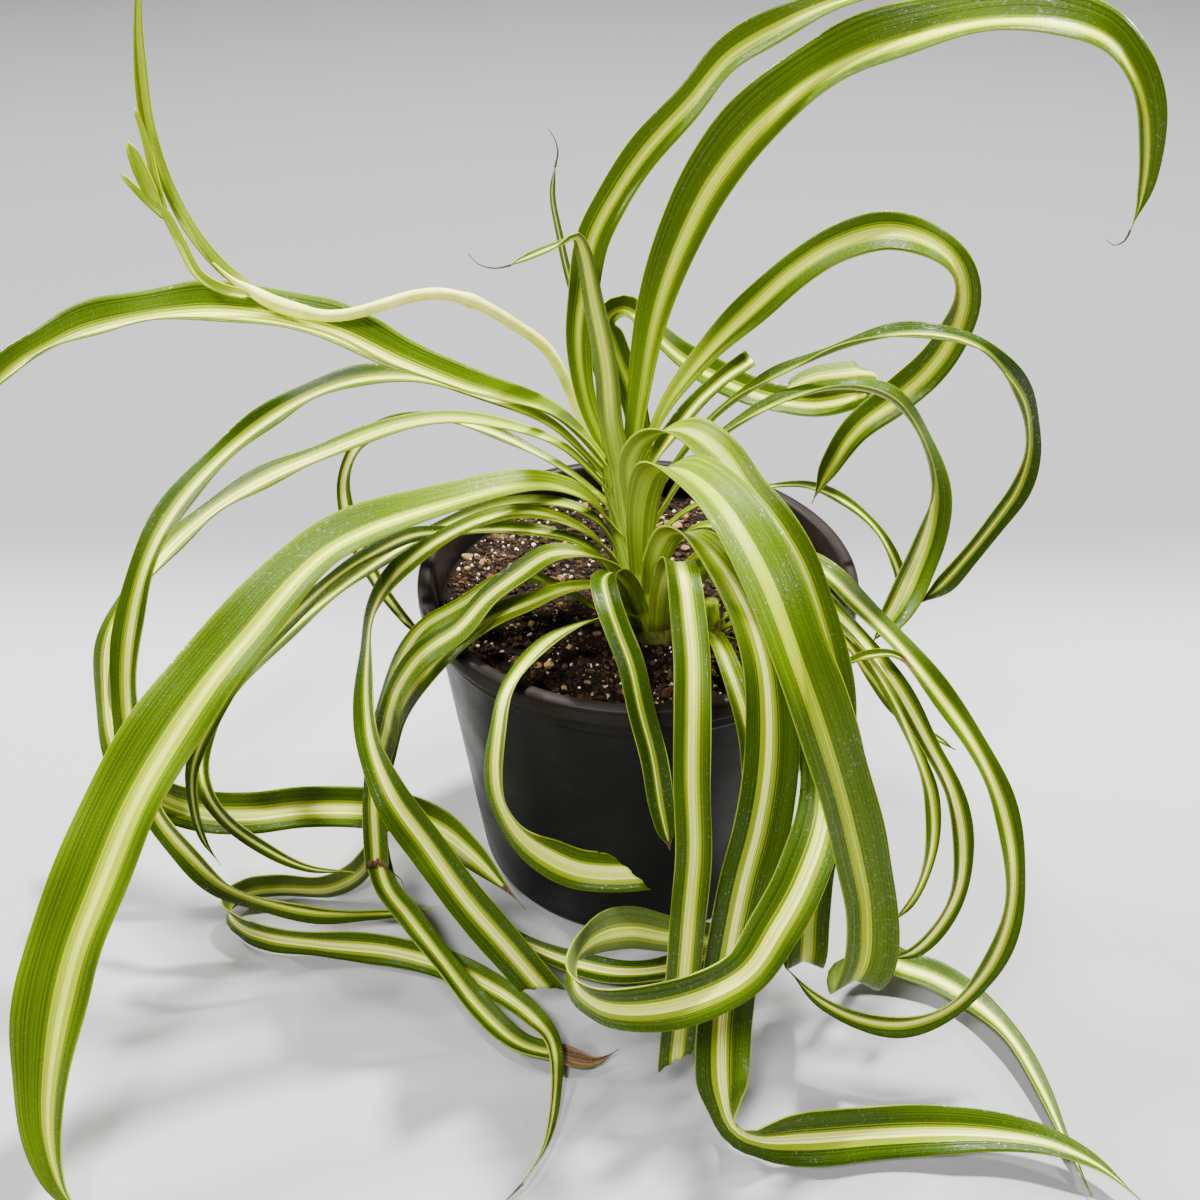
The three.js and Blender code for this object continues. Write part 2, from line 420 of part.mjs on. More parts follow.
// A leaning stem is a turned form whose rings are slid sideways along its centre line.
function stemGeometry(stem, extra) {
  const foot = new THREE.Vector3(...stem.foot);
  const top = new THREE.Vector3(...stem.top);
  const low = foot.z - extra;
  const high = top.z + extra;
  const last = stem.radii.length - 1;
  const rings = stem.radii.map((radius, index) => [radius + extra, low + ((high - low) * index) / last]);
  const geometry = turned([[0, low], ...rings, [0, high + 1]], STEM_SIDES);
  const place = geometry.attributes.position;
  for (let i = 0; i < place.count; i += 1) {
    const centre = foot.clone().lerp(top, (place.getZ(i) - foot.z) / (top.z - foot.z));
    place.setX(i, place.getX(i) + centre.x);
    place.setY(i, place.getY(i) + centre.y);
  }
  return geometry;
}

// Damp potting mix fills the pot to below its lip. Its top is lumpy, with a plain hole for each stem.
function soilGeometry() {
  const edge = (height) => wallRadius(height) - WALL - CLEARANCE;
  const low = FLOOR + CLEARANCE;
  const outline = [[0, low], [edge(low), low], [edge(SOIL_LEVEL), SOIL_LEVEL]];
  for (let ring = SOIL_RINGS - 1; ring > 0; ring -= 1) {
    outline.push([(edge(SOIL_LEVEL) * ring) / SOIL_RINGS, SOIL_LEVEL]);
  }
  outline.push([0, SOIL_LEVEL]);
  const geometry = turned(outline, POT_SIDES);
  const place = geometry.attributes.position;
  const { across, deep, slanting } = LUMP_LENGTHS;
  for (let i = 0; i < place.count; i += 1) {
    const x = place.getX(i);
    const y = place.getY(i);
    const out = Math.hypot(x, y) / edge(SOIL_LEVEL);
    const inner = 1 - smoothstep(LUMPS_FADE.from, LUMPS_FADE.to, out);
    const crossed = Math.sin(x / across + 1) * Math.cos(y / deep);
    const lumps = crossed + SLANTING_SHARE * Math.sin((x - y) / slanting);
    const isTop = place.getZ(i) > low + 1;
    if (isTop) place.setZ(i, SOIL_LEVEL + inner * (LUMP_HEIGHT * lumps + SOIL_MOUND));
  }
  const soil = toSolid(geometry).subtract(toSolid(stemGeometry(CROWN, CLEARANCE)));
  return toGeometry(soil.subtract(toSolid(stemGeometry(SIDE_SHOOT, CLEARANCE))));
}

function tangentAt(curve, share) {
  return curve.getTangent(Math.min(1, Math.max(0, share))).normalize();
}

// The way the upper side looks, for a roll about the blade's own direction.
function facing(direction, roll) {
  const flat = FRONT_AND_UP.clone().addScaledVector(direction, -FRONT_AND_UP.dot(direction)).normalize();
  return flat.applyAxisAngle(direction, THREE.MathUtils.degToRad(roll));
}

// The stations of a blade: its middle, which way it runs and looks, and how far along it they are.
function stations(route) {
  const middles = route.map(([x, y, z]) => new THREE.Vector3(x, y, z));
  const curve = new THREE.CatmullRomCurve3(middles, false, "centripetal");
  const spans = middles.length - 1;
  const looks = route.map((point, index) => facing(tangentAt(curve, index / spans), point[3]));
  const found = [];
  for (let span = 0; span < spans; span += 1) {
    const length = middles[span].distanceTo(middles[span + 1]);
    const steps = Math.max(1, Math.round(length / BLADE_STEP));
    for (let step = 0; step < steps + (span === spans - 1 ? 1 : 0); step += 1) {
      const share = (span + step / steps) / spans;
      const direction = tangentAt(curve, share);
      const look = looks[span].clone().lerp(looks[span + 1], step / steps);
      look.addScaledVector(direction, -look.dot(direction)).normalize();
      found.push({ middle: curve.getPoint(share), direction, look });
    }
  }
  found.forEach((station, index) => {
    const before = found[Math.max(0, index - 1)];
    station.along = index === 0 ? 0 : before.along + before.middle.distanceTo(station.middle);
  });
  return found;
}

function bladeWidth(leaf, share) {
  const spreading = leaf.base + (1 - leaf.base) * smoothstep(0, leaf.spread, share);
  const past = Math.max(0, (share - leaf.taper) / (1 - leaf.taper));
  return leaf.width * spreading * (1 - (1 - leaf.tip) * past ** TAPER_POWER);
}

// A blade is a shallow gutter with a keel under it, six corners round, and gently waved edges.
function bladeGeometry(leaf) {
  const line = stations(leaf.route);
  const total = line[line.length - 1].along;
  const rise = Math.sin(THREE.MathUtils.degToRad(leaf.fold));
  const reach = Math.cos(THREE.MathUtils.degToRad(leaf.fold));
  const corners = [];
  for (const { middle, direction, look, along } of line) {
    const half = bladeWidth(leaf, along / total) / 2;
    const side = direction.clone().cross(look);
    const grown = smoothstep(WAVE_STARTS.from, WAVE_STARTS.to, along / total);
    const wave = (EDGE_WAVE * grown * half) / (leaf.width / 2);
    const edge = (hand) => {
      const lift = half * rise + wave * Math.sin((2 * Math.PI * along) / WAVE_LENGTH + hand);
      return middle.clone().addScaledVector(side, hand * half * reach).addScaledVector(look, lift);
    };
    const across = [edge(-1), middle, edge(1)];
    const up = look.clone().multiplyScalar(BLADE_THICKNESS / reach / 2);
    across.forEach((point) => corners.push(point.clone().add(up)));
    across.reverse().forEach((point) => corners.push(point.clone().sub(up)));
  }
  return closedStrip(corners, line.length);
}

// Skins rings of six corners into a closed body, with both faces split along the same diagonals.
function closedStrip(corners, rings) {
  const faces = [[0, 5, 4], [0, 4, 1], [1, 4, 3], [1, 3, 2]];
  for (let ring = 0; ring < rings - 1; ring += 1) {
    for (let corner = 0; corner < RING; corner += 1) {
      const near = ring * RING + corner;
      const nearNext = ring * RING + ((corner + 1) % RING);
      const far = near + RING;
      const farNext = nearNext + RING;
      if (corner < RING / 2) faces.push([near, nearNext, farNext], [near, farNext, far]);
      else faces.push([near, nearNext, far], [nearNext, farNext, far]);
    }
  }
  const end = (rings - 1) * RING;
  const endFaces = [[0, 4, 5], [0, 1, 4], [1, 3, 4], [1, 2, 3]];
  for (const face of endFaces) faces.push(face.map((corner) => end + corner));
  const geometry = new THREE.BufferGeometry().setFromPoints(corners);
  geometry.setIndex(faces.flat());
  geometry.computeVertexNormals();
  return geometry;
}

function runnerGeometry() {
  const route = new THREE.CatmullRomCurve3(RUNNER_ROUTE.map((point) => new THREE.Vector3(...point)));
  const section = new THREE.Shape();
  for (let i = 0; i < RUNNER_SIDES; i += 1) {
    const angle = (2 * Math.PI * i) / RUNNER_SIDES;
    const corner = [RUNNER_RADIUS * Math.cos(angle), RUNNER_RADIUS * Math.sin(angle)];
    if (i === 0) section.moveTo(...corner);
    else section.lineTo(...corner);
  }
  section.closePath();
  const steps = Math.round(route.getLength() / RUNNER_STEP);
  return new THREE.ExtrudeGeometry(section, { steps, extrudePath: route });
}

function youngStalkGeometry() {
  const bracts = YOUNG_BRACTS.map((bract) => toSolid(bladeGeometry(bract)));
  const stalk = toSolid(bladeGeometry(YOUNG_STALK));
  return toGeometry(bracts.reduce((joined, bract) => joined.add(bract), stalk));
}

addPiece("pot", potGeometry(), potMaterial);
addPiece("potting_mix", soilGeometry(), soilMaterial);
addPiece("crown", stemGeometry(CROWN, 0), crownMaterial);
addPiece("side_shoot", stemGeometry(SIDE_SHOOT, 0), crownMaterial);
for (const [name, leaf] of Object.entries(LEAVES)) addPiece(name, bladeGeometry(leaf), leafMaterial);
addPiece("runner", runnerGeometry(), runnerMaterial);
addPiece("young_leaf", bladeGeometry(YOUNG_LEAF), leafMaterial);
addPiece("young_stalk", youngStalkGeometry(), runnerMaterial);

export default plant;
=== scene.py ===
# A variegated spider plant in a round nursery pot: three kinds of finish on one body that never moves.
import random
from math import cos, floor, hypot, pi, radians, sin, sqrt

import bmesh
import bpy
from mathutils import Matrix, Quaternion, Vector, noise


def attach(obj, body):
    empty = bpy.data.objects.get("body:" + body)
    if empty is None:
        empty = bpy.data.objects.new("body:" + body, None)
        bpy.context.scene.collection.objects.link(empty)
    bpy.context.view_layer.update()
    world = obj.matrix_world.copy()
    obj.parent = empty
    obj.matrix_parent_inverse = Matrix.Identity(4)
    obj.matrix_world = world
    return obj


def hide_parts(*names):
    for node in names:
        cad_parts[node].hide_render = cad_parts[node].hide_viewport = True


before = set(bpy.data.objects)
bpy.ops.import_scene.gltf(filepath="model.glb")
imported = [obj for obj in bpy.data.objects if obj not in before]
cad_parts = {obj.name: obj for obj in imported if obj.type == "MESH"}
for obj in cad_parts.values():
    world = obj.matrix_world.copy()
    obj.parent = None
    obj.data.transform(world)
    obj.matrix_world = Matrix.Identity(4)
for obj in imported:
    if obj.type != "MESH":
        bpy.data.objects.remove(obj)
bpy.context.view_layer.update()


# ---------------------------------------------------------------------------------------------
# The pot: a thin nursery pot of black plastic, moulded in one piece. Its lip is rolled outwards over
# a shallow band, its wall tapers to the foot, and eight drain holes go through its floor.
MM = 0.001
RIM_RADIUS = 80
POT_HEIGHT = 130
FOOT_RADIUS = 62
BAND_RADIUS = 77
WALL_TOP_RADIUS = 74.6
LIP_FOOT = 123
BAND_FOOT = 115
WALL = 2.2
FLOOR = 2.4
DRAIN_HOLES = 8
DRAIN_RADIUS = 4.5
DRAIN_CIRCLE = 46
POT_BLACK = (0.0045, 0.0043, 0.0046, 1)
POT_DUST = (0.022, 0.018, 0.015, 1)
LIP_BROWN = (0.009, 0.0062, 0.0047, 1)


def add(tree, kind, inputs=None, **settings):
    """One shader node: its settings, and its inputs as plain values or as sockets to link."""
    node = tree.nodes.new(kind)
    for name, value in settings.items():
        setattr(node, name, value)
    for name, value in (inputs or {}).items():
        socket = node.inputs[name]
        if isinstance(value, bpy.types.NodeSocket):
            tree.links.new(value, socket)
        else:
            socket.default_value = value
    return node


def ramp(tree, fac, stops):
    """A colour ramp through (place, colour) stops."""
    node = add(tree, "ShaderNodeValToRGB", {"Fac": fac})
    while len(node.color_ramp.elements) < len(stops):
        node.color_ramp.elements.new(0.5)
    for element, (place, colour) in zip(node.color_ramp.elements, stops):
        element.position = place
        element.color = colour
    return node.outputs["Color"]


def maths(tree, operation, a, b=0.0, c=0.0):
    return add(tree, "ShaderNodeMath", {0: a, 1: b, 2: c}, operation=operation).outputs[0]


def between(tree, value, low, high, out_low=0.0, out_high=1.0):
    """Where the value goes from low to high, this goes smoothly from out_low to out_high."""
    inputs = {"Value": value, "From Min": low, "From Max": high, "To Min": out_low, "To Max": out_high}
    return add(tree, "ShaderNodeMapRange", inputs, interpolation_type="SMOOTHSTEP").outputs["Result"]


def mixed(tree, fac, a, b):
    """Colour a where fac is 0 and colour b where it is 1."""
    node = add(tree, "ShaderNodeMix", data_type="RGBA")
    for place, value in ((0, fac), (6, a), (7, b)):
        if isinstance(value, bpy.types.NodeSocket):
            tree.links.new(value, node.inputs[place])
        else:
            node.inputs[place].default_value = value
    return node.outputs[2]


def speckle(tree, place, scale, detail=2.0, rough=0.5):
    inputs = {"Vector": place, "Scale": scale, "Detail": detail, "Roughness": rough}
    return add(tree, "ShaderNodeTexNoise", inputs).outputs["Fac"]


def new_material(name):
    """An empty material: its tree, its Principled shader and the object's own coordinates."""
    material = bpy.data.materials.new(name)
    material.use_nodes = True
    tree = material.node_tree
    return material, tree, tree.nodes["Principled BSDF"], add(tree, "ShaderNodeTexCoord").outputs["Object"]


def piece(name, bm, materials, slot, *nodes):
    """Puts a finished mesh on the object's only body, in place of the plain solids that it stands for."""
    mesh = bpy.data.meshes.new(name)
    bm.to_mesh(mesh)
    bm.free()
    mesh.shade_smooth()
    for material in materials:
        mesh.materials.append(material)
    made = bpy.data.objects.new(name, mesh)
    bpy.context.scene.collection.objects.link(made)
    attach(made, "root")
    if nodes:
        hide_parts(*nodes)
    return made


def spun(outline, steps):
    """Turns an outline of (radius, height) points about the pot's upright axis."""
    bm = bmesh.new()
    points = [bm.verts.new((radius * MM, 0, height * MM)) for radius, height in outline]
    edges = [bm.edges.new(pair) for pair in zip(points, points[1:])]
    bmesh.ops.spin(bm, geom=points + edges, cent=(0, 0, 0), axis=(0, 0, 1), angle=2 * pi, steps=steps,
                   use_merge=True)
    bmesh.ops.remove_doubles(bm, verts=bm.verts, dist=1e-6)
    bmesh.ops.recalc_face_normals(bm, faces=bm.faces)
    return bm


def rounded(corners, steps=4):
    """Rounds an outline's corners. Each corner is (radius, height, rounding)."""
    outline = []
    for index, (radius, height, rounding) in enumerate(corners):
        here = Vector((radius, height))
        if rounding == 0 or index in (0, len(corners) - 1):
            outline.append(here)
            continue
        ends = [Vector(corners[index + way][:2]) for way in (-1, 1)]
        before, after = [here.lerp(end, min(0.5, rounding / (here - end).length)) for end in ends]
        for step in range(steps + 1):
            k = step / steps
            outline.append(before.lerp(here, k).lerp(here.lerp(after, k), k))
    return [tuple(point) for point in outline]


def wall_radius(height):
    return FOOT_RADIUS + (WALL_TOP_RADIUS - FOOT_RADIUS) * height / BAND_FOOT


plastic, tree, shader, place = new_material("black_pot_plastic")
height = add(tree, "ShaderNodeSeparateXYZ", {"Vector": place}).outputs["Z"]
smudges = speckle(tree, place, 55, 6, 0.62)
scuffs = speckle(tree, place, 900, 2, 0.5)
dusty = maths(tree, "MULTIPLY", between(tree, smudges, 0.5, 0.74), between(tree, scuffs, 0.35, 0.65))
lip = between(tree, height, (LIP_FOOT - 4) * MM, (LIP_FOOT + 1) * MM)
body_colour = mixed(tree, lip, POT_BLACK, LIP_BROWN)
colour = mixed(tree, maths(tree, "MULTIPLY", dusty, 0.5), body_colour, POT_DUST)
tree.links.new(colour, shader.inputs["Base Color"])
tree.links.new(between(tree, smudges, 0.25, 0.75, 0.36, 0.52), shader.inputs["Roughness"])
shader.inputs["Specular IOR Level"].default_value = 0.12
rings = maths(tree, "SINE", maths(tree, "MULTIPLY", height, 2 * pi / (2.4 * MM)))
ring_bump = add(tree, "ShaderNodeBump", {"Strength": 0.03, "Distance": 0.0002, "Height": rings})
grain_bump = add(tree, "ShaderNodeBump", {"Strength": 0.18, "Distance": 0.0002, "Height": scuffs,
                                          "Normal": ring_bump.outputs["Normal"]})
tree.links.new(grain_bump.outputs["Normal"], shader.inputs["Normal"])

corners = [(0, 0, 0), (FOOT_RADIUS - 3, 0, 1), (FOOT_RADIUS, 3, 2), (WALL_TOP_RADIUS, BAND_FOOT, 0.8),
           (BAND_RADIUS, BAND_FOOT + 2.4, 0.8), (BAND_RADIUS, LIP_FOOT, 0.5), (RIM_RADIUS, LIP_FOOT, 1.4),
           (RIM_RADIUS, POT_HEIGHT, 2.4), (RIM_RADIUS - 5, POT_HEIGHT, 1.6),
           (wall_radius(LIP_FOOT) - WALL, LIP_FOOT, 1), (wall_radius(FLOOR) - WALL, FLOOR, 2),
           (0, FLOOR, 0)]
pot = piece("nursery_pot", spun(rounded(corners), 128), [plastic], "pot_plastic", "pot")
bm = bmesh.new()
for index in range(DRAIN_HOLES):
    angle = 2 * pi * (index + 0.5) / DRAIN_HOLES
    where = Matrix.Translation((DRAIN_CIRCLE * MM * cos(angle), DRAIN_CIRCLE * MM * sin(angle), 0))
    bmesh.ops.create_cone(bm, cap_ends=True, segments=24, radius1=DRAIN_RADIUS * MM,
                          radius2=DRAIN_RADIUS * MM, depth=20 * MM, matrix=where)
drill_mesh = bpy.data.meshes.new("drain_holes")
bm.to_mesh(drill_mesh)
bm.free()
drill = bpy.data.objects.new("drain_holes", drill_mesh)
bpy.context.scene.collection.objects.link(drill)
drilling = pot.modifiers.new("drain_holes", "BOOLEAN")
drilling.operation = "DIFFERENCE"
drilling.object = drill
drilled = bpy.data.meshes.new_from_object(pot.evaluated_get(bpy.context.evaluated_depsgraph_get()))
pot.modifiers.clear()
pot.data = drilled
bpy.data.objects.remove(drill)


# ---------------------------------------------------------------------------------------------
# The potting mix: damp peat with bark bits, white perlite and dark crumbs, filled to below the lip.
# The bed is one turned form with a lumpy top, and the bits lie on it at random.
SOIL_LEVEL = 117
SOIL_LUMP = 0.9
SOIL_MOUND = 1
SOIL_GAP = 0.3
SOIL_EDGE = wall_radius(SOIL_LEVEL) - WALL - SOIL_GAP
CRUMBS = 7500
PERLITE = 1100
BARK = 480
TRAY = 150
random.seed(41)


def smoothstep(low, high, value):
    k = min(1, max(0, (value - low) / (high - low)))
    return k * k * (3 - 2 * k)


def soil_top(x, y):
    """The height of the bed at a place, in millimetres."""
    inner = 1 - smoothstep(0.8, 0.98, hypot(x, y) / SOIL_EDGE)
    lumps = sin(x / 5.3 + 1) * cos(y / 4.7) + 0.6 * sin((x - y) / 3.1)
    return SOIL_LEVEL + inner * (SOIL_LUMP * lumps + SOIL_MOUND)


def soil_material(name, stops, scale, rough):
    """Crumbly stuff: its colour changes from bit to bit by the shade attribute, and within each bit."""
    material, tree, shader, place = new_material(name)
    shade = add(tree, "ShaderNodeAttribute", attribute_name="shade").outputs["Fac"]
    fine = speckle(tree, place, scale, 4, 0.65)
    tone = maths(tree, "MULTIPLY_ADD", fine, 0.5, maths(tree, "MULTIPLY", shade, 0.6))
    tree.links.new(ramp(tree, tone, stops), shader.inputs["Base Color"])
    shader.inputs["Roughness"].default_value = rough
    shader.inputs["Specular IOR Level"].default_value = 0.08
    bump = add(tree, "ShaderNodeBump", {"Strength": 0.7, "Distance": 0.0005, "Height": fine})
    tree.links.new(bump.outputs["Normal"], shader.inputs["Normal"])
    return material


peat = soil_material("damp_peat", [(0.2, (0.004, 0.0024, 0.0014, 1)), (0.5, (0.017, 0.0098, 0.005, 1)),
                                   (0.85, (0.055, 0.03, 0.014, 1))], 700, 0.85)
perlite_white = soil_material("perlite", [(0.2, (0.16, 0.11, 0.065, 1)), (0.6, (0.45, 0.36, 0.25, 1)),
                                          (0.9, (0.8, 0.74, 0.62, 1))], 900, 0.75)
bark_brown = soil_material("bark_bits", [(0.15, (0.018, 0.009, 0.004, 1)), (0.5, (0.085, 0.044, 0.018, 1)),
                                         (0.85, (0.27, 0.16, 0.065, 1))], 600, 0.75)

soil_foot = FLOOR + SOIL_GAP
outline = [(0, soil_foot), (wall_radius(soil_foot) - WALL - SOIL_GAP, soil_foot), (SOIL_EDGE, SOIL_LEVEL)]
outline += [(SOIL_EDGE * ring / 26, SOIL_LEVEL) for ring in range(25, -1, -1)]
bm = spun(outline, 96)
for vert in bm.verts:
    x, y, z = vert.co / MM
    if z > FLOOR + 1:
        vert.co.z = (soil_top(x, y) + 0.5 * noise.noise(Vector((x, y, 0)) * 0.6)) * MM
piece("potting_mix_bed", bm, [peat], "potting_mix", "potting_mix")


def scatter(count, reach, sizes, flatness):
    """Small rough lumps laid at random on the bed, each with a shade of its own."""
    gathered = bmesh.new()
    gathered.verts.layers.float.new("shade")
    tray = bpy.data.meshes.new("tray_of_lumps")
    while count > 0:
        bm = bmesh.new()
        shade = bm.verts.layers.float.new("shade")
        for _ in range(min(count, TRAY)):
            radius = reach * sqrt(random.random())
            angle = 2 * pi * random.random()
            x, y = radius * cos(angle), radius * sin(angle)
            size = sizes[0] + (sizes[1] - sizes[0]) * random.random() ** 2.2
            shape = Matrix.Diagonal((size * MM, size * MM * random.uniform(0.5, 0.95),
                                     size * MM * random.uniform(*flatness), 1))
            turn = Quaternion((0, 0, 1), random.uniform(0, 2 * pi))
            turn = turn @ Quaternion((1, 0, 0), random.gauss(0, 0.6))
            where = Matrix.Translation(Vector((x, y, soil_top(x, y) + 0.25 * size)) * MM)
            made = bmesh.ops.create_icosphere(bm, subdivisions=1, radius=1,
                                              matrix=where @ turn.to_matrix().to_4x4() @ shape)
            tone = random.random()
            for vert in made["verts"]:
                vert[shade] = tone
                vert.co += Vector([random.uniform(-0.13, 0.13) * size * MM for _ in range(3)])
        bm.to_mesh(tray)
        bm.free()
        gathered.from_mesh(tray)
        count -= TRAY
    bpy.data.meshes.remove(tray)
    return gathered


for name, count, sizes, flatness, material in (
        ("soil_crumbs", CRUMBS, (0.4, 1.5), (0.5, 0.9), peat),
        ("perlite_grains", PERLITE, (0.22, 1.15), (0.6, 0.9), perlite_white),
        ("bark_chips", BARK, (0.4, 2.7), (0.25, 0.5), bark_brown)):
    bits = piece(name, scatter(count, SOIL_EDGE - 1.5, sizes, flatness), [material], "potting_mix")
    bits.data.shade_flat()


# ---------------------------------------------------------------------------------------------
# The crown and the side shoot: short leaning stems of packed leaf sheaths, lime green and fibrous.
# Each is a turned form whose rings are slid along its leaning centre line, standing in the mix.
CROWN = {"foot": (11.4, -31.4, 96), "top": (-8, 5, 176), "radii": (8.2, 8.2, 7.8, 6.6, 5.4, 3.4)}
SIDE_SHOOT = {"foot": (23, -29, 100), "top": (25, -26, 134), "radii": (4.6, 4.6, 4.4, 3.6, 2.4)}
DARK_AT_SOIL_LINE = (0.05, 0.045, 0.012, 1)


def stem_centre(stem, z):
    foot, top = Vector(stem["foot"]), Vector(stem["top"])
    return foot.lerp(top, (z - foot.z) / (top.z - foot.z))


def stem_radius(stem, z):
    place = (z - stem["foot"][2]) / (stem["top"][2] - stem["foot"][2]) * (len(stem["radii"]) - 1)
    below = min(len(stem["radii"]) - 2, max(0, floor(place)))
    return stem["radii"][below] + (stem["radii"][below + 1] - stem["radii"][below]) * (place - below)


sheath, tree, shader, place = new_material("pale_sheath")
streaks = add(tree, "ShaderNodeMapping", {"Vector": place, "Scale": (1, 1, 0.06)}).outputs["Vector"]
fibres = speckle(tree, streaks, 900, 3, 0.6)
height = add(tree, "ShaderNodeSeparateXYZ", {"Vector": place}).outputs["Z"]
# The stem goes darker towards its foot, near the soil.
low_down = between(tree, height, 0.118, 0.134, 1.0, 0.0)
lime = ramp(tree, fibres, [(0.3, (0.2, 0.28, 0.0, 1)), (0.55, (0.38, 0.5, 0.0, 1)),
                           (0.75, (0.6, 0.68, 0.05, 1))])
tree.links.new(mixed(tree, maths(tree, "MULTIPLY", low_down, 0.85), lime, DARK_AT_SOIL_LINE),
               shader.inputs["Base Color"])
shader.inputs["Roughness"].default_value = 0.45
bump = add(tree, "ShaderNodeBump", {"Strength": 0.4, "Distance": 0.0004, "Height": fibres})
tree.links.new(bump.outputs["Normal"], shader.inputs["Normal"])

for name, stem in (("crown", CROWN), ("side_shoot", SIDE_SHOOT)):
    low, high = stem["foot"][2], stem["top"][2]
    heights = [low + (high - low) * step / 24 for step in range(25)]
    outline = [(0, low)] + [(stem_radius(stem, z), z) for z in heights] + [(0, high + 1)]
    bm = spun(outline, 32)
    for vert in bm.verts:
        vert.co += Vector((1, 1, 0)) * stem_centre(stem, vert.co.z / MM) * MM
    piece(name + "_stem", bm, [sheath], "stem_tissue", name)


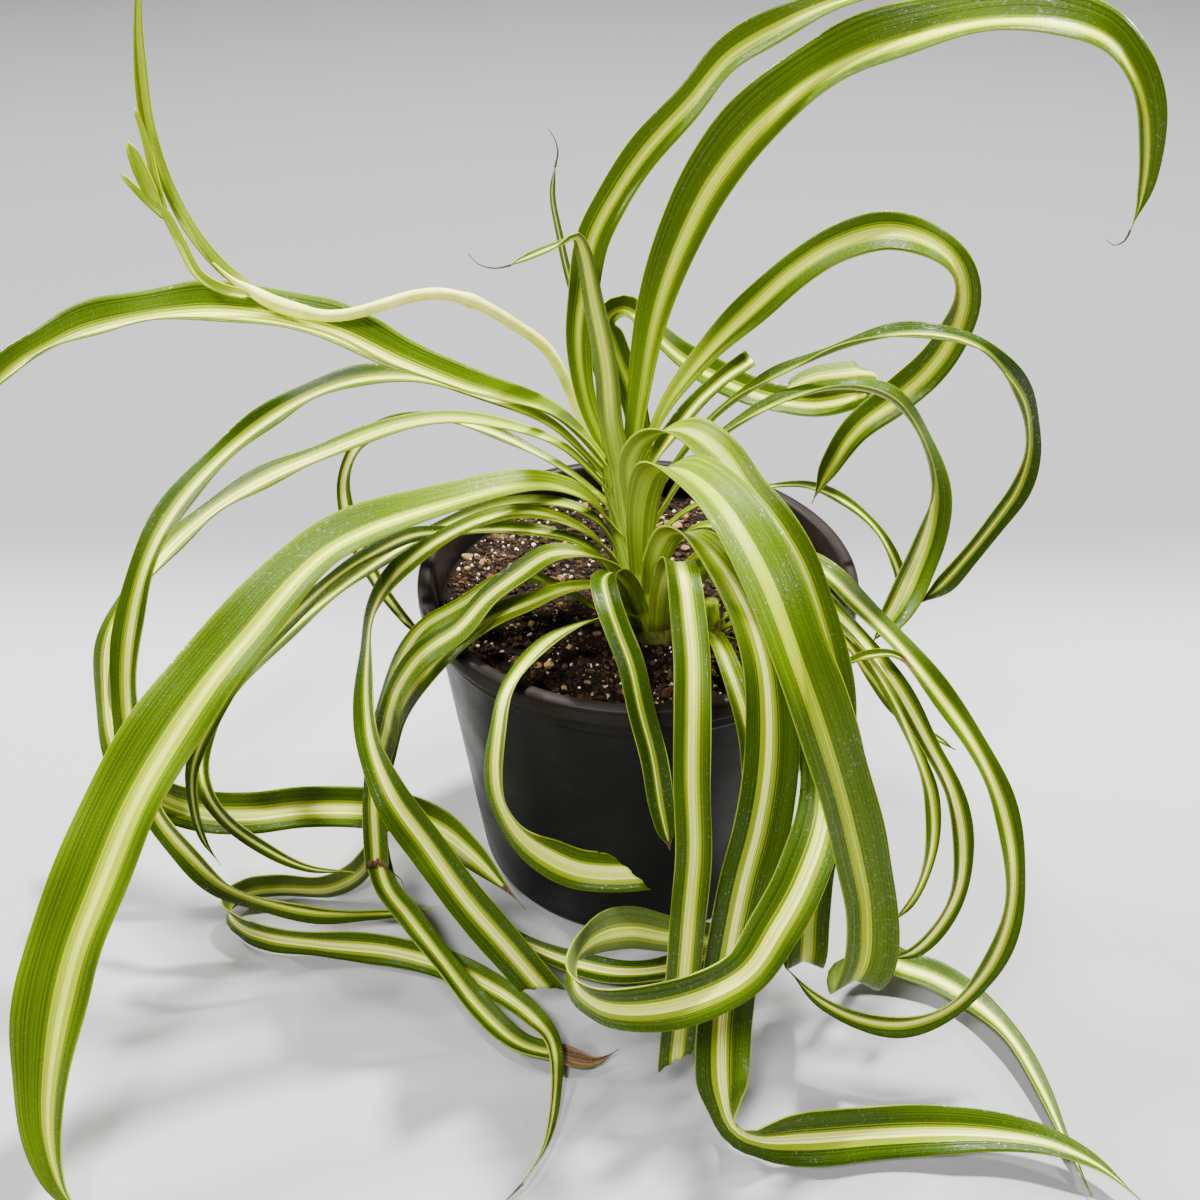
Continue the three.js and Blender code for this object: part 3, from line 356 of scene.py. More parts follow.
# ---------------------------------------------------------------------------------------------
# The leaves: long thin gutters of leaf tissue, striped cream and green along their whole length.
# Each grows from a sheath that clasps its stem, arches out, and curls, folds or trails as it dries.
# A route is a list of [x, y, z, roll], in millimetres and degrees.
LEAVES = {
    "leaf_front_left_broad": {
        "width": 25, "base": 0.36, "spread": 0.6, "taper": 0.76, "tip": 0.1, "fold": 14,
        "route": [[-8.4, -9.5, 152, 80], [-19, -14, 169, 60], [-34, -20, 178, 45], [-58, -32, 180, 35],
            [-99, -48, 172, 25], [-127, -68, 150, 15], [-145, -82, 132, 10], [-161, -99, 111, 8],
            [-172, -115, 90, 5], [-181, -129, 70, 5], [-187, -144, 46, 8], [-188, -159, 24, 15],
            [-182, -170, 11, 25], [-170, -179, 5, 35]]},
    "leaf_left_high": {
        "width": 20, "base": 0.42, "spread": 0.4, "taper": 0.72, "tip": 0.1, "fold": 34,
        "route": [[-12.2, 2.6, 172, 75], [-30, 4, 190, 55], [-60, 0, 203, 40], [-79, -1, 212, 35],
            [-101, 1, 222, 32], [-137, 7, 226, 32], [-180, 18, 216, 32], [-202, 24, 206, 30],
            [-227, 29, 190, 25], [-248, 32, 166, 15]]},
    "leaf_left_outer_loop": {
        "width": 12, "base": 0.6, "spread": 0.3, "taper": 0.8, "tip": 0.2, "fold": 24,
        "route": [[-12.6, 1.2, 168, 80], [-31, 2, 187, 60], [-54, 4, 197, 50], [-71, 8, 201, 45],
            [-89, 14, 199, 40], [-108, 22, 191, 35], [-128, 27, 179, 30], [-148, 24, 165, 25],
            [-166, 12, 150, 20], [-177, -3, 134, 15], [-184, -16, 112, 10], [-186, -28, 91, 10],
            [-183, -40, 72, 12], [-176, -50, 54, 20], [-165, -58, 43, 30], [-153, -62, 30, 38],
            [-138, -64, 23, 42], [-120, -63, 16, 40], [-100, -60, 12, 35], [-86, -58, 10, 30],
            [-75, -58, 13, 30]]},
    "leaf_left_inner_loop": {
        "width": 17, "base": 0.45, "spread": 0.4, "taper": 0.86, "tip": 0.2, "fold": 20,
        "route": [[-11, -2.1, 164, 80], [-28, 2, 179, 65], [-48, 7, 184, 58], [-66, 13, 183, 55],
            [-84, 17, 178, 50], [-110, 20, 166, 50], [-136, 24, 152, 50], [-160, 23, 137, 50],
            [-181, 12, 120, 50], [-197, 0, 100, 52], [-201, -8, 79, 50], [-198, -20, 65, 38],
            [-190, -28, 53, 20], [-180, -32, 45, 6], [-166, -33, 39, -5], [-149, -31, 36, -5],
            [-131, -26, 34, -5], [-109, -22, 30, -5], [-91, -26, 31, 0], [-74, -39, 36, 5],
            [-60, -54, 37, 10], [-50, -64, 33, 12], [-41, -72, 28, 15]]},
    "leaf_left_lower": {
        "width": 6.5, "base": 0.9, "spread": 0.3, "taper": 0.7, "tip": 0.2, "fold": 22,
        "route": [[-6.5, -16, 131, 80], [-11, -21, 143, 70], [-19, -22, 154, 60], [-33, -20, 158, 50],
            [-47, -18, 158, 45], [-62, -18, 157, 40], [-77, -20, 157, 38], [-90, -25, 153, 35],
            [-104, -33, 147, 30], [-127, -49, 130, 20], [-143, -60, 111, 10], [-151, -68, 95, 5],
            [-152, -73, 82, 0], [-150, -77, 70, 0], [-145, -80, 60, 0]]},
    "leaf_left_thin": {
        "width": 7, "base": 0.9, "spread": 0.3, "taper": 0.75, "tip": 0.2, "fold": 24,
        "route": [[-8.8, -10.3, 147, 80], [-15, -12, 157.5, 65], [-25, -11, 163, 55], [-41, -9, 163, 50],
            [-60, -7, 156, 45], [-81, -11, 147, 40], [-106, -22, 134, 35], [-131, -36, 117, 25],
            [-148, -44, 99, 15], [-154, -52, 84, 10], [-152, -59, 75, 10], [-145, -64, 65, 15],
            [-133, -67, 55, 20], [-119, -68, 46, 20], [-102, -67, 42, 20]]},
    "leaf_back_left": {
        "width": 7, "base": 0.9, "spread": 0.3, "taper": 0.75, "tip": 0.25, "fold": 22,
        "route": [[-10.4, -2.2, 158, 80], [-28, 8, 167, 65], [-47, 16, 174, 55], [-62, 23, 176, 50],
            [-75, 28, 176, 45], [-89, 33, 171, 40], [-103, 34, 161, 32], [-109, 30, 149, 24],
            [-108, 24, 137, 20], [-103, 17, 126, 15], [-96, 8, 116, 10], [-87, 1, 106, 10],
            [-78, -5, 99, 10]]},
    "leaf_front_left_cut": {
        "width": 14, "base": 0.55, "spread": 0.8, "taper": 0.99, "tip": 0.96, "fold": 14,
        "route": [[-7.5, -14, 140, 95], [-13, -19, 152, 85], [-19, -22, 160, 70], [-29, -23, 166, 60],
            [-40, -23, 168, 55], [-52, -26, 167, 50], [-64, -28, 162, 48], [-75, -30, 155, 46],
            [-84, -31, 146, 50], [-91, -34, 134, 58], [-93, -41, 122, 60], [-93, -52, 110, 52],
            [-90, -65, 101, 34], [-83, -77, 90, 14], [-72, -84, 74, 0], [-59, -93, 57, 0],
            [-44, -99, 37, 0], [-34, -101, 20, 0]]},
    "leaf_left_cut": {
        "width": 9.5, "base": 0.8, "spread": 0.3, "taper": 0.99, "tip": 0.95, "fold": 22,
        "route": [[-3.1, -20.8, 134, 120], [-7, -27, 146, 100], [-13, -31, 154, 85], [-21, -33, 158, 60],
            [-30, -34, 158, 45], [-40, -38, 153, 35], [-50, -44, 148, 30], [-59, -53, 142, 28],
            [-70, -58, 136, 25], [-80, -58, 121, 20], [-87, -54, 98, 12], [-94, -52, 71, 5],
            [-97, -54, 31, 0]]},
    "leaf_left_trailing": {
        "width": 9.5, "base": 0.8, "spread": 0.3, "taper": 0.85, "tip": 0.5, "fold": 20,
        "route": [[-4.2, -21.9, 128, 100], [-9, -27, 138, 85], [-17, -32, 144, 70], [-27, -36, 145, 55],
            [-37, -40, 143, 42], [-49, -44, 140, 32], [-60, -48, 134, 25], [-72, -51, 123, 18],
            [-83, -47, 103, 10], [-91, -45, 80, 4], [-97, -45, 55, 0], [-98, -48, 35, -5],
            [-94, -57, 23, -10], [-85, -67, 18, -25], [-72, -83, 14, -35], [-57, -100, 8, -45],
            [-42, -112, 4, -50], [-28, -116, 3, -50], [-16, -119, 3, -45], [-7, -115, 5, -40]]},
    "leaf_floor_curl": {
        "width": 14, "base": 0.4, "spread": 0.5, "taper": 0.62, "tip": 0.12, "fold": 12,
        "route": [[-3.9, -22.5, 122, 90], [-16, -27, 132, 75], [-29, -28, 142, 60], [-43, -33, 149, 45],
            [-60, -42, 143, 40], [-73, -43, 134, 40], [-86, -39, 107, 40], [-93, -36, 79, 45],
            [-97, -37, 54, 55], [-100, -38, 33, 85], [-107, -42, 15, 125], [-120, -45, 8.5, 143],
            [-140, -45, 8, 140], [-151, -47, 8, 120], [-156, -54, 8, 92], [-151, -62, 8, 55],
            [-140, -67, 8, 37], [-119, -70, 7, 30], [-91, -73, 6.5, 15], [-68, -80, 5, -10],
            [-51, -90, 5, -30], [-37, -105, 9, -45], [-30, -117, 11, -50], [-29, -132, 6, -50],
            [-32, -150, 2.5, -50], [-39, -163, 2, -50]]},
    "leaf_front_c_shaped": {
        "width": 14, "base": 0.5, "spread": 0.85, "taper": 0.96, "tip": 0.9, "fold": 14,
        "route": [[-1.8, -27, 122, 140], [-3, -33, 130, 130], [-8, -39, 136, 105], [-17, -45, 139, 85],
            [-28, -52, 138, 68], [-37, -62, 135, 60], [-43, -74, 132, 58], [-45, -83, 125, 62],
            [-46, -88, 114, 68], [-45, -90, 102, 62], [-40, -91, 89, 42], [-32, -91, 79, 22],
            [-22, -92, 73, 8], [-13, -93, 72, 2], [-3, -94, 73, 0]]},
    "leaf_front_short": {
        "width": 9, "base": 0.75, "spread": 0.3, "taper": 0.85, "tip": 0.4, "fold": 22,
        "route": [[0.6, -26, 128, 170], [-4, -35, 146, 140], [-9, -41, 156, 90], [-12, -49, 159, 40],
            [-11, -58, 158, 15], [-8, -67, 153, 5], [-4, -76, 146, 0], [-1, -84, 135, 0],
            [3, -89, 120, 0], [6, -94, 102, 0], [9, -98, 87, 0]]},
    "leaf_front_centre": {
        "width": 11.5, "base": 0.65, "spread": 0.4, "taper": 0.99, "tip": 0.95, "fold": 14,
        "route": [[6.7, -28.6, 122, 180], [7, -37, 145, 180], [9, -43, 160, -160], [11, -51, 167, -35],
            [12, -61, 168, -5], [13, -72, 163, 0], [14, -83, 154, 0], [14, -93, 143, 0],
            [14, -104, 124, 0], [15, -112, 102, 0], [14, -118, 82, 0], [13, -123, 60, 0],
            [12, -129, 38, 0], [11, -133, 24, 0]]},
    "leaf_front_folded": {
        "width": 18.5, "base": 0.45, "spread": 0.4, "taper": 0.74, "tip": 0.1, "fold": 14,
        "route": [[4.8, -22.6, 134, 180], [5, -34, 157, 180], [9, -38, 169, -135], [16, -46, 174, -55],
            [24, -57, 171, -15], [32, -69, 162, -5], [37, -79, 150, 0], [39, -88, 135, 0],
            [39, -95, 120, 0], [37, -101, 101, 0], [33, -107, 80, 0], [30, -113, 59, 0],
            [28, -121, 42, 0], [27, -131, 26, 5], [28, -140, 15.5, 35], [30.5, -147, 10.5, 85],
            [37, -151, 10, 40], [52, -151, 10, 5], [75, -149, 9.5, -5], [97, -148, 9, -15],
            [115, -149, 9, -30], [132, -153, 9.5, -45], [146, -160, 8, -50], [158, -171, 5, -50]]},
    "leaf_front_right_broad": {
        "width": 18, "base": 0.5, "spread": 0.35, "taper": 0.97, "tip": 0.8, "fold": 20,
        "route": [[1.2, -19.9, 140, 180], [0, -26, 162, 180], [1, -29, 178, -165], [4, -34, 190, -120],
            [11, -46, 198, -50], [20, -62, 200, -20], [28, -78, 196, -10], [35, -93, 188, -5],
            [42, -105, 173, -5], [50, -112, 153, -5], [58, -114, 129, -5], [65, -116, 105, -5],
            [70, -118, 84, -5], [72, -121, 64, -5], [71, -121, 54, -10], [70, -118.5, 47.5, -20],
            [70, -113, 44.5, 180], [70.5, -107, 45.5, 180]]},
    "leaf_right_behind_broad": {
        "width": 14, "base": 0.5, "spread": 0.35, "taper": 0.97, "tip": 0.85, "fold": 18,
        "route": [[2.6, -16.9, 147, 180], [-2, -17, 168, 180], [-3, -16, 184, -160], [3, -18, 194, -105],
            [14, -26, 200, -40], [23.5, -38, 199, -10], [31, -49, 192, -5], [38, -56, 186, 0],
            [46, -63, 175, 0], [52, -68, 161, 0], [57, -71, 146, 0], [61, -74, 129, 0],
            [62, -79, 110, 0], [60, -85, 90, 0], [58, -91, 71, 0], [57, -97, 53, 0], [57, -101.5, 41, 0],
            [57, -100, 34, 0], [57, -94, 30.5, 180], [57, -86, 31.5, 180]]},
    "leaf_front_hook": {
        "width": 16, "base": 0.5, "spread": 0.5, "taper": 0.8, "tip": 0.7, "fold": 14,
        "route": [[11.6, -23.6, 128, -180], [19, -32, 150, -160], [26, -39, 160, -80], [34, -50, 161, 0],
            [42, -64, 153, 20], [48, -76, 139, 45], [54, -91, 125, 50], [54, -107, 112, 30],
            [47, -121, 99, 12], [39, -130, 88, 4], [30, -138, 78, -2], [14, -146, 76, -12],
            [-2, -149, 75, -20], [-13, -147, 74, -32], [-20, -140, 73, -60], [-21, -131, 71, -90],
            [-19, -122, 68, -125], [-13, -114, 65, -160], [-3, -107, 59, -178], [9, -102, 50, -180],
            [24, -99, 44, -180]]},
    "leaf_right_loop_inner": {
        "width": 8, "base": 0.85, "spread": 0.3, "taper": 0.85, "tip": 0.3, "fold": 24,
        "route": [[9.9, -9.5, 141, -90], [17, -13, 153, -80], [24, -18, 159, -65], [33, -26, 161, -50],
            [43, -36, 159, -45], [55, -47, 153, -40], [70, -58, 142, -35], [82, -67, 129, -30],
            [93, -75, 112, -25], [102, -82, 96, -20], [106, -90, 80, -20], [105, -97, 67, -20],
            [99, -103, 56, -25], [91, -107, 48, -30], [82, -106, 42, -35]]},
    "leaf_right_loop_outer": {
        "width": 9.5, "base": 0.8, "spread": 0.3, "taper": 0.85, "tip": 0.3, "fold": 24,
        "route": [[10.7, -14.8, 134, -90], [21, -15, 145, -75], [31, -18, 151, -55], [44, -25, 154, -45],
            [58, -34, 154, -40], [70, -46, 148, -35], [82, -57, 140, -30], [93, -66, 130, -25],
            [106, -75, 115, -22], [117, -84, 96, -20], [122, -94, 78, -20], [122, -102, 60, -22],
            [116, -110, 43, -25], [104, -117, 32, -30], [88, -120, 27, -32], [73, -117, 26, -32],
            [60, -110, 28, -30], [51, -101, 31, -25]]},
    "leaf_right_loop_narrow": {
        "width": 6, "base": 0.85, "spread": 0.3, "taper": 0.8, "tip": 0.3, "fold": 24,
        "route": [[29.1, -28, 128, -90], [37, -32, 135, -65], [48, -36, 139, -50], [58, -43, 141, -45],
            [69, -51, 136, -40], [81, -58, 122, -35], [91, -64, 103, -30], [98, -72, 86, -25],
            [99, -81, 71, -22], [94, -90, 58, -25], [86, -96, 48, -30]]},
    "leaf_right_short": {
        "width": 5, "base": 0.9, "spread": 0.3, "taper": 0.6, "tip": 0.25, "fold": 22,
        "route": [[29.2, -29.4, 124.6, -110], [37, -37, 132, -80], [46, -47, 135, -60],
            [57, -57, 137, -55], [66, -64, 137, -50], [71, -68, 143, -45], [78, -71, 146, -40],
            [85, -71, 141, -35]]},
    "leaf_right_low": {
        "width": 5.5, "base": 0.9, "spread": 0.3, "taper": 0.7, "tip": 0.25, "fold": 22,
        "route": [[29.8, -25.8, 120.5, -80], [40, -25, 128, -60], [54, -34, 134, -50],
            [66, -43, 132, -45], [77, -50, 120, -40], [89, -52, 105, -35], [101, -53, 96, -35],
            [110, -55, 91, -35]]},
    "leaf_floor_front": {
        "width": 11, "base": 0.45, "spread": 0.4, "taper": 0.72, "tip": 0.2, "fold": 16,
        "route": [[22.9, -32.4, 120, 175], [21, -45, 136, -125], [24, -58, 142, -20], [28, -74, 140, -5],
            [33, -84, 128, 0], [36, -87, 111, 0], [38, -88, 90, 0], [39, -87, 66, 0], [38, -85, 42, 5],
            [33, -82, 20, 20], [23, -80, 9, 45], [8, -82, 5, 52], [-8, -82, 4, 53], [-24, -78, 4, 53],
            [-37, -72, 4, 53], [-52, -62, 4, 50], [-65, -50, 6, 40], [-76, -36, 15, 30]]},
    "leaf_floor_right": {
        "width": 13.5, "base": 0.36, "spread": 0.5, "taper": 0.6, "tip": 0.16, "fold": 16,
        "route": [[27.5, -32, 121, -130], [33, -44, 131, -80], [44, -57, 137, -50], [60, -68, 130, -35],
            [68, -74, 110, -30], [74, -77, 80, -28], [80, -77, 46, -28], [86, -76, 18, -32],
            [95, -79, 7, -40], [110, -85, 5, -40], [122, -95, 4.5, -40], [131, -109, 4, -42],
            [137, -130, 3, -45], [140, -150, 2.5, -45], [143, -167, 2.5, -45]]},
    "leaf_right_twisting": {
        "width": 14.5, "base": 0.5, "spread": 0.75, "taper": 0.86, "tip": 0.25, "fold": 20,
        "route": [[4.3, -8.9, 152, -90], [14, -14, 175, -80], [22, -18, 190, -75], [33, -22, 202, -70],
            [46, -26, 212, -68], [60, -29, 217, -65], [73, -28, 214, -60], [85, -23, 202, -58],
            [93, -20, 187, -54], [97, -20, 172, -46], [96, -24, 159, -34], [91, -32, 149, -20],
            [84, -43, 142, -5], [75, -54, 137, -5]]},
    "leaf_right_arch": {
        "width": 8, "base": 0.85, "spread": 0.3, "taper": 0.99, "tip": 0.7, "fold": 26,
        "route": [[3, -4.4, 158, -90], [15, -5, 180, -80], [25, -8, 196, -75], [38, -13, 210, -70],
            [50, -20, 221, -65], [63, -28, 231, -60], [75, -34, 237, -55], [86, -37, 238, -45],
            [97, -35, 234, -35], [108, -30, 224, -25], [119, -24, 210, -20], [124, -21, 197, -15],
            [126, -19, 185, -12], [125, -18, 173, -10], [120, -18, 161, -10], [112, -20, 148, -8],
            [104, -23, 138, -8], [96, -25, 131, -8]]},
    "leaf_right_folded": {
        "width": 13, "base": 0.6, "spread": 0.35, "taper": 0.8, "tip": 0.25, "fold": 20,
        "route": [[-0.5, 1.8, 168, -80], [10, 3, 195, -55], [22, 3, 213, -35], [36, 3, 229, -20],
            [49, 3, 242, -12], [61, 3, 250, -10], [75, 3, 254, -10], [88, 3, 251, -15],
            [98, 5, 243, -25], [103, 8, 230, -25], [102, 10, 216, -15], [97, 11, 204, 5],
            [87, 10, 193, 10], [75, 9, 182, 15], [67, 6, 169, 15], [61, 2, 156, 15]]},
    "leaf_top_right": {
        "width": 19, "base": 0.42, "spread": 0.42, "taper": 0.62, "tip": 0.08, "fold": 24,
        "route": [[-2.1, 7.4, 172, -40], [0, 8, 196, -25], [4, 11, 224, -10], [12, 15, 249, 0],
            [22, 17, 269, 5], [37, 17, 287, -5], [59, 11, 304, -15], [78, 5, 312, -18],
            [96, -2, 317, -20], [111, -8, 318, -20], [124, -12, 315, -15], [133, -13, 307, -10],
            [140, -12, 296, -5], [145, -10, 282, 5], [147, -8, 270, 10], [147, -5, 257, 10]]},
    "leaf_top_left": {
        "width": 12, "base": 0.5, "spread": 0.4, "taper": 0.75, "tip": 0.1, "fold": 26,
        "route": [[-8.6, 8.6, 168, 0], [-18, 13, 190, 0], [-21, 13, 214, 10], [-19, 14, 232, 10],
            [-16, 16, 247, 5], [-9, 18, 260, 0], [1, 20, 274, -5], [14, 21, 288, -8], [25, 21, 301, -10],
            [39, 19, 310, -12], [53, 16, 317, -15], [67, 12, 321, -15], [80, 7, 321, -15]]},
    "leaf_top_front": {
        "width": 8.5, "base": 0.95, "spread": 0.1, "taper": 0.25, "tip": 0.2, "fold": 20,
        "route": [[-6.4, -2.2, 172, 180], [-10, -2, 190, 178], [-12, 1, 211, 175], [-16, 3, 232, 172],
            [-19, 3, 248, 165], [-21, 1, 253, 120], [-25, -1, 252, 60], [-32, -3, 250, 35],
            [-42, -6, 247, 25]]},
    "leaf_top_thin": {
        "width": 4, "base": 1, "spread": 0.1, "taper": 0.3, "tip": 0.3, "fold": 24,
        "route": [[-5.4, 4.4, 160, 180], [-7, 12.5, 172, 180], [-11, 19.5, 186, 180],
            [-18, 24, 212, 180], [-24, 24, 231, 180], [-27, 25, 246, 180], [-29, 26, 258, 180],
            [-28, 26, 268, 180]]},
    "leaf_back_over": {
        "width": 13, "base": 0.62, "spread": 0.55, "taper": 0.85, "tip": 0.6, "fold": 22,
        "route": [[0.5, 1.9, 151, 0], [1, 13, 172, 0], [-3, 22, 190, 0], [-9, 28, 205, -10],
            [-11, 30, 213, -25], [-6, 31, 216, -40], [4, 31, 208, -35], [14, 30, 199, -30],
            [27, 28, 192, -25], [43, 26, 186, -20], [60, 23, 184, -20], [73, 21, 187, -25],
            [82, 22, 190, -60], [82, 20, 197, -110], [77, 18, 199, -160], [69, 18, 198, -175],
            [60, 19, 196, -180], [51, 20, 191, -180]]},
    "leaf_right_thin": {
        "width": 4.5, "base": 1, "spread": 0.2, "taper": 0.75, "tip": 0.5, "fold": 20,
        "route": [[6.6, -4.5, 147, -80], [18, -2, 156, -70], [30, 0, 161, -60], [44, 3, 162, -55],
            [59, 7, 160, -50], [72, 9, 154, -40], [81, 10, 147, -30], [89, 10, 138, -20],
            [95, 9, 128, -12], [99, 7, 118, -10], [100, 3, 108, -10], [99, -1, 99, -10]]},
    "leaf_right_snapped": {
        "width": 8, "base": 0.8, "spread": 0.3, "taper": 0.99, "tip": 0.95, "fold": 26,
        "route": [[0.6, 1.6, 164, -70], [10, 7, 178, -50], [19, 11, 190, -35], [29, 14, 199, -25],
            [38, 16, 205, -20]]},
}

# The nature of each leaf: young = how bright and yellow its green is, cream = how much of its width is
# striped cream, dried = the length of its brown tip in millimetres, cut = it ends bluntly, slant = how
# far the cut runs ahead at one edge, rounded = the end curls under in a round bend, shift = how far the
# cream lies off the keel, lime = the share of the leaf that is still pale lime from the base.
NATURE = {
    "leaf_front_left_broad": {"young": 0.95, "cream": 0.3, "shift": 0.28},
    "leaf_left_high": {"young": 0.65, "cream": 0.6, "shift": 0.24},
    "leaf_left_outer_loop": {"young": 0.25, "cream": 0.5},
    "leaf_left_inner_loop": {"young": 0.5, "cream": 0.5, "dried": 12},
    "leaf_left_lower": {"young": 0.15, "cream": 0.45},
    "leaf_left_thin": {"young": 0.15, "cream": 0.4},
    "leaf_back_left": {"young": 0.2, "cream": 0.5},
    "leaf_front_left_cut": {"young": 0.35, "cream": 0.4, "cut": True, "slant": -5},
    "leaf_left_cut": {"young": 0.35, "cream": 0.4, "cut": True, "dried": 4, "slant": 1},
    "leaf_left_trailing": {"young": 0.3, "cream": 0.42, "dried": 26},
    "leaf_floor_curl": {"young": 0.35, "cream": 0.5, "dried": 3},
    "leaf_front_c_shaped": {"young": 0.55, "cream": 0.6, "cut": True, "slant": 7},
    "leaf_front_short": {"young": 0.05, "cream": 0.26, "dried": 4},
    "leaf_front_centre": {"young": 0.5, "cream": 0.46, "cut": True, "slant": 4},
    "leaf_front_folded": {"young": 0.2, "cream": 0.36},
    "leaf_front_right_broad": {"young": 0.88, "cream": 0.17, "shift": -0.15, "lime": 0.44, "cut": True,
                               "rounded": True},
    "leaf_right_behind_broad": {"young": 0.78, "cream": 0.45, "lime": 0.45, "cut": True, "rounded": True},
    "leaf_front_hook": {"young": 0.35, "cream": 0.42, "cut": True},
    "leaf_right_loop_inner": {"young": 0.25, "cream": 0.55},
    "leaf_right_loop_outer": {"young": 0.4, "cream": 0.42},
    "leaf_right_loop_narrow": {"young": 0.3, "cream": 0.5},
    "leaf_right_short": {"young": 0.55, "cream": 0.4, "dried": 6},
    "leaf_right_low": {"young": 0.5, "cream": 0.45, "dried": 4},
    "leaf_floor_front": {"young": 0.1, "cream": 0.46, "dried": 6},
    "leaf_floor_right": {"young": 0.4, "cream": 0.46, "dried": 6},
    "leaf_right_twisting": {"young": 0.25, "cream": 0.5},
    "leaf_right_arch": {"young": 0.15, "cream": 0.34, "dried": 6},
    "leaf_right_folded": {"young": 0.6, "cream": 0.4},
    "leaf_top_right": {"young": 0.78, "cream": 0.36, "shift": -0.26},
    "leaf_top_left": {"young": 0.9, "cream": 0.36},
    "leaf_top_front": {"young": 0.75, "cream": 0.55},
    "leaf_top_thin": {"young": 0.1, "cream": 0.2},
    "leaf_back_over": {"young": 0.55, "cream": 0.34, "cut": True, "slant": 2},
    "leaf_right_thin": {"young": 0.4, "cream": 0.5},
    "leaf_right_snapped": {"young": 0.45, "cream": 0.5, "cut": True},
}
STATION = 2.2
ACROSS = 12
LEAF_THICKNESS = 0.5
EDGE_WAVE = 0.9
WAVE_LENGTH = 47
SHEATH = 17
LONGEST_SHEATH = 40
SHEATH_IN_SOIL = 3
CLASPING_ROWS = 6
SHARP_FOLD = 28
KEEL = 0.08
FRONT_AND_UP = Vector((0, -0.8, 0.6))


def smooth_route(route, pace):
    """Points and directions about every pace millimetres on a smooth curve through the route."""
    points = [Vector(point[:3]) for point in route]
    points = [2 * points[0] - points[1]] + points + [2 * points[-1] - points[-2]]
    found = []
    for span in range(len(points) - 3):
        p0, p1, p2, p3 = points[span:span + 4]
        d0, d1, d2 = sqrt((p1 - p0).length), sqrt((p2 - p1).length), sqrt((p3 - p2).length)
        leave = ((p1 - p0) / d0 - (p2 - p0) / (d0 + d1) + (p2 - p1) / d1) * d1
        arrive = ((p2 - p1) / d1 - (p3 - p1) / (d1 + d2) + (p3 - p2) / d2) * d1
        c2 = 3 * (p2 - p1) - 2 * leave - arrive
        c3 = 2 * (p1 - p2) + leave + arrive
        steps = max(1, round((p2 - p1).length / pace))
        last = span == len(points) - 4
        for step in range(steps + last):
            t = step / steps
            found.append({"middle": p1 + leave * t + c2 * t * t + c3 * t ** 3,
                          "direction": (leave + 2 * c2 * t + 3 * c3 * t * t).normalized(), "at": span + t})
    return found


def squared(vector, direction):
    return (vector - direction * vector.dot(direction)).normalized()


def leaf_line(route):
    """The stations of a leaf: its middle, the way it runs, and the way that its upper side looks."""
    line = smooth_route(route, STATION)
    marks = [next(place for place in line if place["at"] >= index) for index in range(len(route) - 1)]
    marks.append(line[-1])
    looks = [Quaternion(mark["direction"], radians(point[3])) @ squared(FRONT_AND_UP, mark["direction"])
             for mark, point in zip(marks, route)]
    for place in line:
        span = min(len(route) - 2, floor(place["at"]))
        place["look"] = squared(looks[span].lerp(looks[span + 1], place["at"] - span), place["direction"])
    for _ in range(3):
        raw = [place["look"] for place in line]
        for index, place in enumerate(line):
            near = raw[max(0, index - 2):index + 3]
            place["look"] = squared(sum(near, Vector()), place["direction"])
    line[0]["along"] = line[0]["bend"] = 0
    for before, place in zip(line, line[1:]):
        place["along"] = before["along"] + (place["middle"] - before["middle"]).length
        place["bend"] = place["direction"].angle(before["direction"]) / (place["along"] - before["along"])
    raw = [place["bend"] for place in line]
    for index, place in enumerate(line):
        near = raw[max(0, index - 2):index + 3]
        place["bend"] = smoothstep(0.05, 0.2, sum(near) / len(near))
    return line


def nearest_stem(point):
    gaps = [(hypot(*(point - stem_centre(stem, point.z)).xy) - stem_radius(stem, point.z), name, stem)
            for name, stem in (("crown", CROWN), ("side_shoot", SIDE_SHOOT))]
    return min(gaps, key=lambda gap: gap[0])


def leaf_width(leaf, share, cut):
    spreading = leaf["base"] + (1 - leaf["base"]) * smoothstep(0, leaf["spread"], share)
    past = max(0, (share - leaf["taper"]) / (1 - leaf["taper"]))
    width = leaf["width"] * spreading * (1 - (1 - leaf["tip"]) * past ** 1.6)
    if not cut:
        width *= max(0.04, 1 - smoothstep(0.94, 1.0, share) ** 1.2)
    return width


